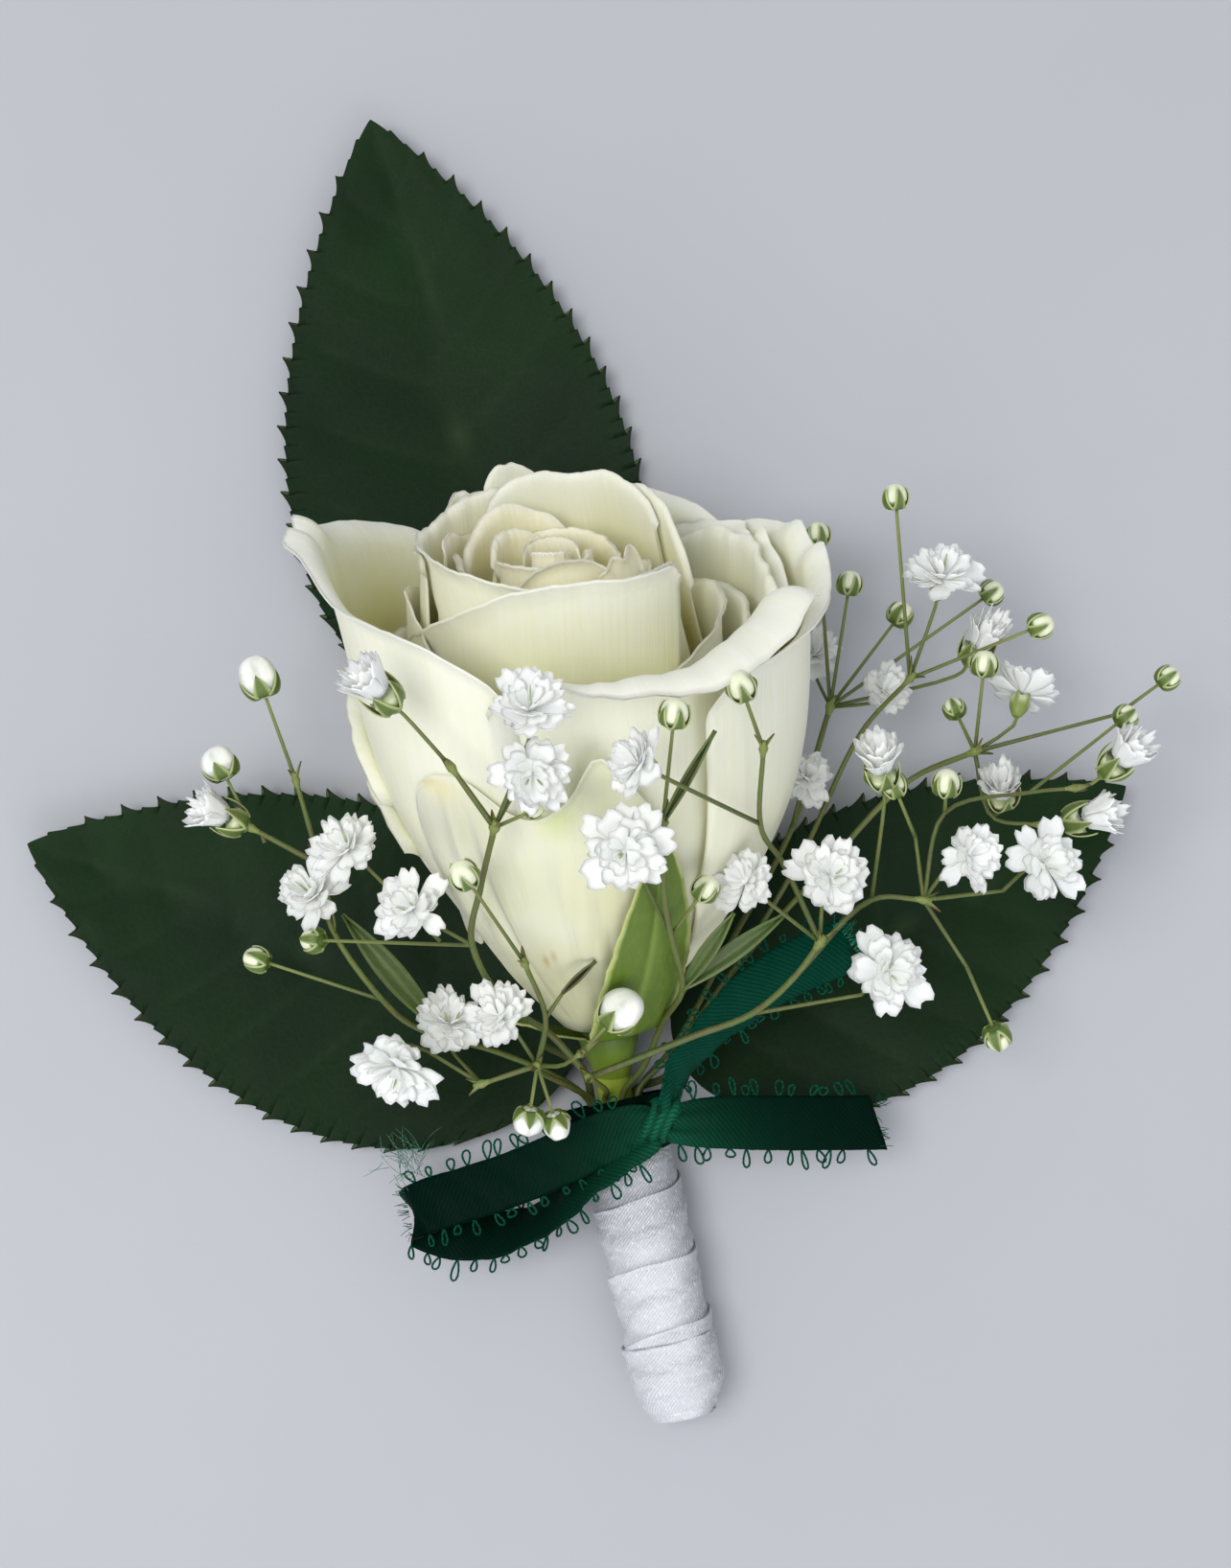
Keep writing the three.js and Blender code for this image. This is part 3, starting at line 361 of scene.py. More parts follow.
class Surface:
    """A node material that starts from the colours of its piece."""

    def __init__(self, name, **sockets):
        self.material = bpy.data.materials.new(name)
        self.material.use_nodes = True
        self.tree = self.material.node_tree
        self.shader = self.tree.nodes["Principled BSDF"]
        for socket, value in sockets.items():
            title = socket.replace("_", " ").title().replace("Ior", "IOR")
            self.shader.inputs[title].default_value = value
        self.tint = self.node("ShaderNodeAttribute", attribute_name="tint").outputs["Color"]
        self.place = self.node("ShaderNodeAttribute", attribute_name="place").outputs["Vector"]
        self.height = None

    def node(self, kind, inputs=(), **settings):
        node = self.tree.nodes.new(kind)
        for name, value in settings.items():
            setattr(node, name, value)
        for key, value in dict(inputs).items():
            if isinstance(value, bpy.types.NodeSocket):
                self.tree.links.new(value, node.inputs[key])
            else:
                node.inputs[key].default_value = value
        return node

    def stretched(self, scale, turn=0.0):
        """The texture place, scaled and turned, so that a pattern runs one way."""
        mapping = self.node(
            "ShaderNodeMapping", {"Vector": self.place, "Scale": scale, "Rotation": (0, 0, turn)}
        )
        return mapping.outputs["Vector"]

    def noise(self, vector, scale=1.0, detail=3.0, roughness=0.55):
        settings = {"Vector": vector, "Scale": scale, "Detail": detail, "Roughness": roughness}
        return self.node("ShaderNodeTexNoise", settings).outputs["Fac"]

    def waves(self, vector, scale=1.0, distortion=0.0):
        settings = {"Vector": vector, "Scale": scale, "Distortion": distortion}
        return self.node("ShaderNodeTexWave", settings).outputs["Fac"]

    def cells(self, vector, scale=1.0):
        settings = {"Vector": vector, "Scale": scale}
        node = self.node("ShaderNodeTexVoronoi", settings, feature="DISTANCE_TO_EDGE")
        return node.outputs["Distance"]

    def range(self, value, low, high, start, finish):
        settings = {
            "Value": value, "From Min": low, "From Max": high, "To Min": start, "To Max": finish,
        }
        return self.node("ShaderNodeMapRange", settings).outputs["Result"]

    def tinted(self, colour, other, amount):
        """Mixes a colour towards another by an amount that varies over the surface."""
        node = self.node("ShaderNodeMix", data_type="RGBA")
        node.inputs[7].default_value = (*other, 1)
        self.tree.links.new(colour, node.inputs[6])
        self.tree.links.new(amount, node.inputs[0])
        return node.outputs[2]

    def raised(self, height, distance, strength=1.0):
        """Adds a bump of a height in millimetres on top of those before it."""
        inputs = {"Height": height, "Distance": distance * MM, "Strength": strength}
        if self.height is not None:
            inputs["Normal"] = self.height
        self.height = self.node("ShaderNodeBump", inputs).outputs["Normal"]

    def finish(self, colour, roughness=None):
        self.tree.links.new(colour, self.shader.inputs["Base Color"])
        if roughness is not None:
            self.tree.links.new(roughness, self.shader.inputs["Roughness"])
        if self.height is not None:
            self.tree.links.new(self.height, self.shader.inputs["Normal"])
        return self.material


LEAF_NET = rgb(34, 58, 32)
LEAF_CLOUD = rgb(16, 28, 19)
LEAF_SHEEN_SPECKS = rgb(34, 56, 28)
STEM_GRAIN = rgb(150, 164, 84)
CREPE_SHADOW = rgb(20, 32, 25)


def petal_surface(name, warm, light, streaks):
    """Soft petals that light sinks into, with faint streaks along them."""
    surface = Surface(
        name, subsurface_weight=0.35, subsurface_radius=(1.0, 0.9, 0.62), subsurface_scale=2.0 * MM,
        specular_ior_level=0.35, sheen_weight=0.08, sheen_roughness=0.5,
    )
    veins = surface.noise(surface.stretched((1.5, 0.06, 1)), detail=3)
    cloud = surface.noise(surface.place, scale=0.08, detail=2)
    skin = surface.noise(surface.place, scale=4.0, detail=3)
    shade = surface.tinted(surface.tint, warm, surface.range(veins, 0.45, 0.8, 0, streaks))
    shade = surface.tinted(shade, light, surface.range(cloud, 0.45, 0.7, 0, 0.25))
    surface.raised(veins, 0.13, 0.5)
    surface.raised(skin, 0.02, 0.5)
    return surface.finish(shade, surface.range(veins, 0.3, 0.7, 0.48, 0.6))


def leaf_surface(name):
    """A half matt leaf with a faint net of veins."""
    surface = Surface(name, specular_ior_level=0.08)
    net = surface.cells(surface.place, scale=0.9)
    fine = surface.noise(surface.place, scale=3.0, detail=4)
    cloud = surface.noise(surface.place, scale=0.07, detail=2)
    shade = surface.tinted(surface.tint, LEAF_NET, surface.range(net, 0.0, 0.06, 0.2, 0))
    shade = surface.tinted(shade, LEAF_CLOUD, surface.range(cloud, 0.4, 0.68, 0, 0.5))
    # Painted sheen: fine speckles mix the leaf towards a lighter green.
    shade = surface.tinted(shade, LEAF_SHEEN_SPECKS, surface.range(fine, 0.5, 0.8, 0, 0.25))
    surface.raised(net, 0.07, 0.5)
    surface.raised(fine, 0.03, 0.5)
    return surface.finish(shade, surface.range(fine, 0.3, 0.7, 0.46, 0.6))


def stem_surface(name, dry, dry_share):
    """A smooth stem skin, drier and browner in places."""
    surface = Surface(name, subsurface_weight=0.08, subsurface_scale=1.0 * MM)
    fine = surface.noise(surface.stretched((2.6, 0.8, 2.6)), detail=4)
    broad = surface.noise(surface.place, scale=0.3, detail=3)
    shade = surface.tinted(surface.tint, dry, surface.range(broad, 0.52, 0.8, 0, dry_share))
    shade = surface.tinted(shade, STEM_GRAIN, surface.range(fine, 0.5, 0.8, 0, 0.2))
    surface.raised(fine, 0.05, 0.5)
    return surface.finish(shade, surface.range(fine, 0.3, 0.7, 0.42, 0.6))


def satin_surface(name, lit, threads, roughness, gloss, sparkle, crumple=1.0, slanting=0.3):
    """Satin with slanting threads, some of which catch the light."""
    surface = Surface(
        name, sheen_weight=0.02, sheen_roughness=0.35, anisotropic=0.5, specular_ior_level=gloss,
    )
    weave = surface.waves(surface.stretched((1.0, 1.0, 1), 0.9), scale=threads, distortion=0.4)
    slub = surface.noise(surface.stretched((0.5, 5.0, 1)), detail=3)
    glints = surface.noise(surface.stretched((9.0, 1.6, 1), 0.7), detail=2)
    cloud = surface.noise(surface.stretched((0.6, 1.3, 1), 0.6), scale=0.5, detail=3)
    shade = surface.tinted(surface.tint, lit, surface.range(weave, 0.3, 0.9, 0, slanting))
    shade = surface.tinted(shade, lit, surface.range(cloud, 0.5, 0.75, 0, 0.14))
    shade = surface.tinted(shade, lit, surface.range(glints, 0.58, 0.7, 0, sparkle))
    surface.raised(weave, 0.04, 0.5)
    surface.raised(slub, 0.05, 0.5)
    surface.raised(cloud, 0.35 * crumple, 0.5)
    surface.raised(glints, 0.06 * crumple, 0.5)
    return surface.finish(shade, surface.range(slub, 0.3, 0.7, roughness - 0.06, roughness + 0.1))


def tape_surface(name):
    """Dull stretched paper tape with fine crepe ridges."""
    surface = Surface(name)
    crepe = surface.waves(surface.stretched((0.2, 1.0, 1), 0.3), scale=0.9, distortion=3.0)
    fine = surface.noise(surface.place, scale=3.0, detail=4)
    shade = surface.tinted(surface.tint, CREPE_SHADOW, surface.range(crepe, 0.3, 0.9, 0.5, 0))
    surface.raised(crepe, 0.15, 0.8)
    surface.raised(fine, 0.06, 0.6)
    return surface.finish(shade, surface.range(fine, 0.3, 0.7, 0.7, 0.9))


BUNDLE = (
    Matrix.Translation((0, 0, RING_FLAT))
    @ Matrix.Rotation(BUNDLE_TURN, 4, "Z")
    @ Matrix.Rotation(BUNDLE_TILT, 4, "X")
)
RING_PLACE = Matrix.Translation((0, 0, RING_FLAT)) @ Matrix.Rotation(BUNDLE_TURN, 4, "Z")


def moved(matrix, points):
    """Points moved by a matrix."""
    points = np.asarray(points, float)
    turned = points @ np.array(matrix.to_3x3()).T
    return turned + np.array(matrix.translation)


def in_bundle(degrees, along, radius):
    """A place among the tied stems, at an angle round them and a distance along them."""
    angle = math.radians(degrees)
    return moved(BUNDLE, (radius * math.cos(angle), along, radius * math.sin(angle)))


def root_places(degrees):
    """The places that a thin stem passes inside the tape."""
    return [in_bundle(degrees, along, THIN_STEM_RING) for along in (-14, -7, 0, TAPE_TOP + 0.8)]


ROSE_AXIS = np.array((
    -math.sin(ROSE_LEAN) * math.cos(ROSE_RISE),
    math.cos(ROSE_LEAN) * math.cos(ROSE_RISE),
    math.sin(ROSE_RISE),
))
ROSE_RIGHT = np.array((math.cos(ROSE_LEAN), math.sin(ROSE_LEAN), 0.0))
ROSE_FRONT = np.cross(ROSE_RIGHT, ROSE_AXIS)


def rose_point(degrees, height, radius):
    """Points round the rose's axis, where 0 degrees faces up from the surface."""
    angle = np.radians(degrees)
    squashed = radius * (1 - 0.04 * (1 - np.cos(angle)))
    return (
        ROSE_BASE
        + np.asarray(height)[..., None] * ROSE_AXIS
        + (squashed * np.cos(angle))[..., None] * ROSE_FRONT
        + (squashed * np.sin(angle))[..., None] * ROSE_RIGHT
    )


def body_radius(height):
    """The radius of the closed rose at a height above its foot."""
    part = height / 50
    return 5 + 22 * part + 5.6 * np.sin(math.pi * np.clip(part, 0, 1.2))


def cup_radius(height):
    """The radius of the open cup at a height above the rose's foot."""
    return 16.5 - 0.093 * (height - 30)


# The longest arc, in millimetres, of a rim that is only turned and not rolled.
WELL_ROLLED = 2

# A petal has its middle angle and half spread in degrees, the heights of its foot and, from one
# side to the other, of its rim, how far it stands out, and the arcs and turns of its rolled rim.
# Horns and a curl are bumps at a place across it, with a width and an amount. Left and right say
# how far that side is turned, and between which heights. Marks have a place, a size and a colour.
OUTER_PETALS = (
    dict(at=-80, half=68, foot=1.5, rim=(52, 56, 58.4, 60.4, 56, 53.7, 48), out=-1.5, lap=0.8,
         tuck=0.5, arcs=(3, 4, 4.5, 4, 3.5, 3, 1.6), turns=(60, 75, 85, 70, 70, 55, 35),
         curl=(0.02, 0.055, 1.2), waist=1.8,
         horns=((-0.25, 0.05, 1.7), (-0.16, 0.03, -0.9), (-0.06, 0.04, 0.6)), seed=1),
    dict(at=15, half=34, foot=1.5, rim=(47.6, 49.0, 49.2, 48.8, 49, 51, 54), out=0.3, lap=0.9,
         tuck=0.8, arcs=(2.2, 3.6, 6, 8, 9.6, 10, 8), turns=(60, 90, 120, 136, 144, 146, 125),
         frill=0.8, right=(9, 30, 44), seed=2),
    dict(at=84, half=54, foot=1.5, rim=(46, 47, 48, 49.8, 51.2, 51, 49), out=1.9, lap=-0.4,
         tuck=0.5, arcs=(3, 3.5, 4.2, 4, 3.5, 3, 2), turns=(50, 60, 80, 85, 80, 70, 60),
         horns=((0.16, 0.05, 1.1), (0.28, 0.05, -0.8), (0.42, 0.06, 0.9)), seed=3),
    dict(at=120, half=34, foot=2, rim=(46, 48.8, 50.4, 50.8, 51, 50.4, 48), out=-1.8,
         arcs=(2.5, 2.5), turns=(70, 60), curl=(0.1, 0.08, 1.6),
         horns=((-0.3, 0.06, 1.5), (-0.16, 0.06, -0.7)), seed=4),
    dict(at=164, half=40, foot=1.5, rim=(49, 52, 53.4, 53.8, 53.2, 52, 49), out=-0.5, lap=0.7,
         arcs=(2.5, 3), turns=(60, 70), seed=5),
    dict(at=-154, half=44, foot=1.5, rim=(46, 48.6, 50, 50.4, 50, 48.8, 46), out=-0.7,
         arcs=(3, 2), turns=(60, 60), seed=6),
    dict(at=-106, half=36, foot=2, rim=(32, 36.5, 39.2, 40.6, 39.8, 37.6, 33), out=-3.0, tuck=0,
         arcs=(2.8, 2.8), turns=(85, 85), frill=0.5, seed=7),
    dict(at=-102, half=32, foot=2, rim=(25, 29.5, 31.8, 33, 32.6, 31, 27), out=-2.5, tuck=0,
         arcs=(2.6, 2.6), turns=(85, 85), frill=0.6, seed=10),
    dict(at=108, half=36, foot=12, rim=(45, 48.2, 50.2, 51.2, 51.2, 50.4, 48), out=-3.6, frill=0.8,
         arcs=(1.2, 1.6), turns=(50, 80), curl=(-0.75, 0.12, 1.2), seed=8),
    dict(at=58, half=66, foot=14, rim=(41, 42.8, 44, 45.4, 46.2, 46.6, 46), out=-5.8, frill=0.3,
         arcs=(1.6, 1.6), turns=(45, 45), seed=11),
    dict(at=70, half=60, foot=14, rim=(41, 43.8, 46, 47.2, 47.8, 47.6, 46), out=-8.4, frill=0.3,
         arcs=(1.6, 1.6), turns=(45, 45), seed=12),
    dict(at=-92, half=52, foot=14, rim=(44, 45.6, 46.4, 46.6, 46, 45, 43.6), out=-8.2, frill=0.7,
         arcs=(1.2, 1.2), turns=(50, 50), seed=13),
    dict(at=-14, half=37, foot=1.2, base=1.2, root=0.2, out=0.0, lap=1.3, crease=0.6, frill=0.3,
         plain=1, seed=9,
         rim=(30, 36, 38.2, 39, 38.4, 36.4, 34.6, 34.9, 37.4, 41.6, 38, 33.6, 29),
         arcs=(0.6, 0.6, 0.6, 0.6, 0.8, 1.6, 2.2, 1.2, 0.6),
         turns=(15, 15, 15, 20, 30, 60, 80, 50, 20),
         marks=((-6, 35.2, 5, 2.6, "green"), (-20, 15, 1.2, 0.5, "brown"),
                (-16, 16.2, 0.8, 0.6, "brown"), (-34, 20, 2, 0.8, "brown"),
                (-40, 38.0, 4.5, 0.5, "brown"), (-36, 37.2, 6, 1.4, "warm"))),
)
CUP_PETALS = (
    dict(at=-84, half=34, foot=28, rim=(49, 51, 52, 52.2, 51.4, 49.6, 47), out=2.0,
         frill=0.5, seed=21),
    dict(at=-16, half=72, foot=26, rim=(46.5, 49.8, 52.8, 55.3, 55.8, 55, 54.6), out=1.1, lap=0.5,
         tuck=0.1, arcs=(3.4, 3.4, 3.2, 3, 2.8, 2.4, 1.6), turns=(50, 50, 45, 42, 42, 40, 35),
         right=(-10, 54, 44), seed=22),
    dict(at=-12, half=78, foot=30, rim=(57.5, 57.3, 56.5, 55.3, 54.6, 54.4, 54.2), out=-0.6,
         tuck=0.1, arcs=(2.8, 2.8), turns=(50, 48), left=(26, 57, 51), seed=23),
    dict(at=164, half=48, foot=30, rim=(56, 58.4, 59.6, 59.2, 59.7, 59.2, 57), out=-0.4,
         arcs=(1.2, 1.2), turns=(50, 50), seed=24),
    dict(at=128, half=28, foot=30, rim=(50, 54.8, 57.2, 57.8, 58.1, 58.3, 58), out=0.7,
         arcs=(1.4, 1.2), turns=(50, 50), frill=0.5, seed=25),
    dict(at=-116, half=46, foot=30, rim=(58.6, 58.6, 58, 57.4, 57.2, 57.2, 57), out=0.2,
         arcs=(1.2, 1.4), turns=(50, 70), frill=0.7, seed=26),
    dict(at=192, half=13, foot=34, rim=(57, 59.4, 60.6, 60.3, 58), out=3, frill=0.8, seed=27),
    dict(at=-146, half=16, foot=34, rim=(56.5, 58, 58.6, 58.8, 57.4), out=2, frill=0.8, seed=28),
)
SWIRL_PETALS = (
    dict(at=207, half=50, foot=36, rim=(50.8, 55.2, 56.7, 57.9, 57.6, 56.1, 54.6), out=-4.5,
         arcs=(1.4, 1.6), turns=(60, 60), frill=0.15, seed=31),
    dict(at=62, half=66, foot=36, rim=(53.4, 53.2, 52.8, 52.4, 52, 51.6, 51), out=-3.4,
         frill=0.5, seed=32),
    dict(at=48, half=24, foot=38, rim=(52.6, 54.2, 55.4, 54.8, 55.8, 55, 53), out=-4.4, frill=0.6,
         arcs=(1, 1.2), turns=(50, 60), seed=33),
    dict(at=246, half=30, foot=38, rim=(53.6, 55, 55.6, 56.4, 56.8, 56.6, 55.8), out=-2.2,
         frill=0.5, seed=34),
    dict(at=6, half=40, foot=38, rim=(51.6, 54.2, 55.6, 56.1, 55.9, 54.8, 52.4), out=-5.6,
         arcs=(2.2, 2.4), turns=(70, 75), frill=0.15, seed=35),
    dict(at=-56, half=48, foot=36, rim=(55, 55.2, 55, 54.6, 54.2, 53.6, 52.8), out=-4.0,
         arcs=(1.6, 1.6), turns=(60, 60), frill=0.4, seed=36),
    dict(at=130, half=80, foot=38, rim=(52, 53, 53.8, 54.6, 55, 55, 54.6), out=-6.6,
         frill=0.3, seed=37),
    dict(at=222, half=44, foot=38, rim=(53, 54.6, 55.6, 56, 56.2, 56, 55), out=-7.8, frill=0.25,
         arcs=(1.2, 1.2), turns=(60, 60), seed=38),
    dict(at=-30, half=64, foot=38, rim=(54, 54.6, 54.8, 54.8, 54.6, 54.2, 53.6), out=-8.4,
         arcs=(1.6, 1.6), turns=(60, 60), frill=0.2, seed=39),
    dict(at=70, half=64, foot=38, rim=(53, 53.8, 54.2, 54.4, 54.2, 53.8, 53), out=-9.4,
         frill=0.25, seed=40),
    dict(at=180, half=80, foot=40, rim=(54.4, 55, 55.2, 55.3, 55.2, 55, 54.4), out=-10.6,
         frill=0.2, seed=41),
    dict(at=-10, half=90, foot=40, rim=(54.4, 54.8, 55, 55, 54.9, 54.7, 54.2), out=-11.8,
         frill=0.2, seed=42),
)
BUD_CORE = (
    (0.15, 3.2), (1.4, 4.5), (4, 6.3), (8, 9.2), (16, 13.6), (26, 16.4), (34, 16), (40, 13.5),
    (46, 9), (49, 4),
)
MARK_COLOURS = {
    "brown": rgb(176, 128, 60),
    "warm": rgb(238, 226, 166),
    "green": rgb(206, 218, 140),
}
# Painted highlight for the rolled lip of a petal.
PETAL_RIM_HIGHLIGHT = rgb(250, 249, 236)
# Painted shade: the front petal's colours, darker and greener than the rest.
SHADED_FRONT_PETAL = rgb(228, 228, 200)
SHADED_FRONT_PETAL_DEPTH = rgb(212, 211, 170)
SWIRL_CREAM = rgb(246, 236, 196)
SWIRL_STANDS_IN = -2


def petal_colours(shape, inner, depth, height, degrees, lip):
    """The colours of a petal's outside and inside, paler at its rim and warmer in the depths, with
    a painted highlight on its rolled lip.
    """
    pale, deep, low = colour("petal"), colour("petal_depth"), colour("petal_foot")
    plain = "plain" in shape
    if inner and shape.get("out", 0) < SWIRL_STANDS_IN:
        pale = mix(pale, SWIRL_CREAM, 0.6)
    outside = blend(pale, mix(pale, deep, 0.5), depth * (2.2 if inner else 0.5))
    # Painted shade: the plain front petal takes darker, greener colours for the shaded lower front
    # of the rose.
    if plain:
        outside = blend(SHADED_FRONT_PETAL, SHADED_FRONT_PETAL_DEPTH, depth * 1.2)
    outside = blend(outside, low, smoothstep(10, 1, height) * 0.4)
    inside = blend(pale, deep, depth * 1.7)
    if inner:
        outside = blend(outside, deep, smoothstep(0.15, 0.7, depth) * 0.75)
    # Painted highlight: a rolled lip is mixed towards a paler, brighter colour, except on the plain
    # front petal.
    rim_highlight = smoothstep(0.35, 1, lip) * (0 if plain else 0.5) + 0 * depth
    outside = blend(outside, PETAL_RIM_HIGHLIGHT, rim_highlight)
    inside = blend(inside, PETAL_RIM_HIGHLIGHT, rim_highlight)
    for angle, tall, wide, thick, kind in shape.get("marks", ()):
        away = ((degrees - angle) / wide) ** 2 + ((height - tall) / thick) ** 2
        outside = blend(outside, MARK_COLOURS[kind], np.exp(-(away**1.5)) * 0.8)
    return outside, inside


def petal_heights(shape, u, v, length):
    """Where a petal's points are up its wall, round its rolled rim and above the rose's foot."""
    arcs, turns = shape.get("arcs", (0.8, 0.8)), shape.get("turns", (25, 25))
    calm = smoothstep(0, 0.3, 1 - np.abs(u))
    crest = along_list(shape["rim"], u)
    frill = shape.get("frill", 0.25)
    crest = crest + 0.4 * frill * ripple(length * u, shape["seed"], (1.2, 2.7, 4.3)) * calm
    crest = crest - 1.6 * smoothstep(0.88, 1, np.abs(u)) ** 2
    for place, width, amount in shape.get("horns", ()):
        crest = crest + amount * bump_at(u, place, width)
    turn = np.radians(along_list(turns, u))
    roll = along_list(arcs, u) / turn
    begin = crest - roll * np.sin(np.minimum(turn, math.pi / 2))
    flat_part = 0.64 if max(arcs) > WELL_ROLLED else 0.86
    wall = np.clip(v / flat_part, 0, 1) ** 0.9
    lip = np.clip((v - flat_part) / (1 - flat_part), 0, 1)
    height = mix(shape["foot"], begin, wall) + roll * np.sin(turn * lip)
    return crest, height, wall, lip, roll, turn * lip


def petal_lift(shape, inner, u, v, length, wall, roll, turned):
    """How far a petal's points stand out from the rose's body, with its waves and creases."""
    seed = shape["seed"]
    frill, crease = shape.get("frill", 0.25), shape.get("crease", 0.07)
    root = shape.get("root", 0.3 if inner else 1)
    free = 1 - (1 - wall) ** 2
    lift = shape.get("out", 0) * free - root * (1 - free) + shape.get("lap", 0) * u * free
    lift = lift + roll * (1 - np.cos(turned))
    lift = lift - shape.get("tuck", 0.3) * roll * smoothstep(0.5, 1, wall)
    lift = lift - shape.get("waist", 0) * np.sin(math.pi * wall) * smoothstep(0.9, -0.1, u)
    if "curl" in shape:
        place, width, amount = shape["curl"]
        lift = lift + amount * bump_at(u, place, width) * smoothstep(0.8, 1, v) ** 1.5
    wave = ripple(length * u, seed + 50, (0.7, 1.3, 2.1) if inner else (1.1, 2.3, 3.9))
    lift = lift + frill * 0.5 * wave * smoothstep(0.6, 1, v) ** 2
    folds = ripple(length * u * (1.1 + 0.5 * wall) + 1.6 * wall, seed + 70, (1.5, 3.1, 5.7))
    patches = ripple(1.3 * length * u + 2.5 * wall, seed + 71, (0.6, 1.0, 1.5))
    patches = smoothstep(-0.7, 0.9, patches)
    return lift + crease * folds * patches * np.sin(math.pi * wall) ** 0.8


def petal(form, shape, inner):
    """Adds one petal, with its rolled or frilled rim, its creases and its colours."""
    half = shape["half"]
    length = half * 0.3
    well_rolled = max(shape.get("arcs", (0,))) > WELL_ROLLED
    u, v = across_and_along(int(21 + 0.5 * half), 36 if well_rolled else 26)
    crest, height, wall, lip, roll, turned = petal_heights(shape, u, v, length)
    lift = petal_lift(shape, inner, u, v, length, wall, roll, turned)
    spread = mix(shape.get("base", 0.62), 1, np.minimum(1, 2 * wall))
    degrees = shape["at"] + u * half * spread
    for side, sign in (("left", -1), ("right", 1)):
        if side in shape:
            shift, none_at, full_at = shape[side]
            part = np.clip((height - none_at) / (full_at - none_at), 0, 1)
            degrees = degrees + shift * np.clip(sign * u, 0, 1) * part
    radius = (cup_radius if inner else body_radius)(height)
    grid = rose_point(degrees, height + 0 * u, radius + lift)
    depth = np.maximum(crest - height, 0) / 24 + 0 * u
    outside, inside = petal_colours(shape, inner, depth, height, degrees, lip)
    place = points_of(u * half * 0.35, height + 0 * u, 0 * v + shape["seed"] * 7.3)
    thin = 1 - 0.5 * smoothstep(0.5, 1, v) - 0.3 * smoothstep(0.85, 1, np.abs(u))
    form.sheet(grid, size("petal") * thin, outside, place, inside)


def rose_rings(stations, sides):
    turns = np.linspace(0, 360, sides, endpoint=False)
    return [rose_point(turns, np.full(sides, float(h)), r + 0 * turns) for h, r in stations]


def build_rose():
    """Furls and opens the rose: a core, the outer petals, the cup and the swirl in it."""
    form = Form()
    stations = curve_through([(h, r, 0) for h, r in BUD_CORE], 40)[:, :2]
    form.loft(rose_rings(stations, 48), mix(colour("petal_depth"), colour("petal"), 0.3))
    for shape in OUTER_PETALS:
        petal(form, shape, inner=False)
    for shape in CUP_PETALS + SWIRL_PETALS:
        petal(form, shape, inner=True)
    skin = petal_surface(
        "rose petal", warm=rgb(226, 222, 168), light=rgb(249, 249, 240), streaks=0.26
    )
    form.piece("rose_petals", skin, "rose_petal", "rose_bloom")


SEPAL_RIDGE = rgb(150, 176, 76)
SEPAL_EDGE = rgb(196, 204, 128)
SEPAL_FOOT = rgb(80, 112, 34)
HIP_TOP = rgb(70, 98, 30)
HIP_LOW = rgb(142, 168, 48)
STEM_TOP = rgb(164, 186, 58)


def sepal(form, at, width, length, spread=0.0, seed=0):
    """Adds one sepal that lies on the petals, ridged down its middle and pale at its edge."""
    u, v = across_and_along(15, 49)
    lying = np.maximum(0, (v - 0.2) / 0.8)
    height = np.where(v < 0.2, mix(-1.4, 1.5, 5 * v), mix(1.5, length, lying)) + 0 * u
    radius = np.where(v < 0.2, mix(3, body_radius(1.5) + 2.3, 5 * v), body_radius(height) + 2.2)
    wide = (width / 2) * np.sin(math.pi * (0.2 + 0.79 * v)) ** 0.7 + 0.1
    wide = wide * (1 + 0.03 * ripple(20 * v, seed))
    groove = -0.3 * bump_at(u, 0, 0.12) + 0.3 * np.abs(u) ** 2
    groove = groove + 0.12 * ripple(5 * v + 2 * u, seed + 1)
    degrees = at + np.degrees(u * wide / radius)
    grid = rose_point(degrees, height - spread * lying**2 * 6, radius + spread * lying * 3 + groove)
    shade = blend(colour("sepal"), SEPAL_RIDGE, bump_at(u, 0, 0.07) * 0.4 + 0 * v)
    shade = blend(shade, SEPAL_EDGE, smoothstep(0.9, 1, np.abs(u)) * 0.9 + 0 * v)
    shade = blend(shade, SEPAL_FOOT, smoothstep(0.3, 0.0, v) * 0.6 + 0 * u)
    place = points_of(u * wide, height, 0 * v + seed)
    form.sheet(grid, 0.45 - 0.2 * np.abs(u) + 0 * v, shade, place)


def build_rose_stem():
    """Makes the rose's stem inside the tape, its swollen hip and its sepals."""
    form = Form()
    hip = [(-8, 1.9, 0), (-5.5, 2.6, 0), (-3, 3.4, 0), (-1, 3.7, 0), (-0.2, 3.4, 0)]
    stations = curve_through(hip, 20)[:, :2]
    rings = rose_rings(stations, 28)
    form.loft(rings, blend(HIP_LOW, HIP_TOP, np.linspace(0, 1.4, 20))[:, None, :])
    places = [in_bundle(0, along, 0) for along in (-29, -14.5, TAPE_TOP)]
    places.append(rose_point(0, -5.0, 0.0))
    line = curve_through(places, 40)
    thick = 1.95 + 0.07 * np.sin(np.linspace(0, 9, 40))
    shade = blend(colour("rose_stem"), STEM_TOP, smoothstep(20, 38, np.arange(40.0)))
    form.tube(line, thick, shade, sides=20)
    sepal(form, at=17, width=9.4, length=31, seed=3)
    sepal(form, at=100, width=5, length=11, seed=4)
    sepal(form, at=-60, width=4, length=7, spread=0.4, seed=5)
    sepal(form, at=-130, width=5, length=7, seed=6)
    skin = stem_surface("rose stem", dry=rgb(120, 132, 48), dry_share=0.25)
    form.piece("rose_green", skin, "rose_green", "rose_stem")


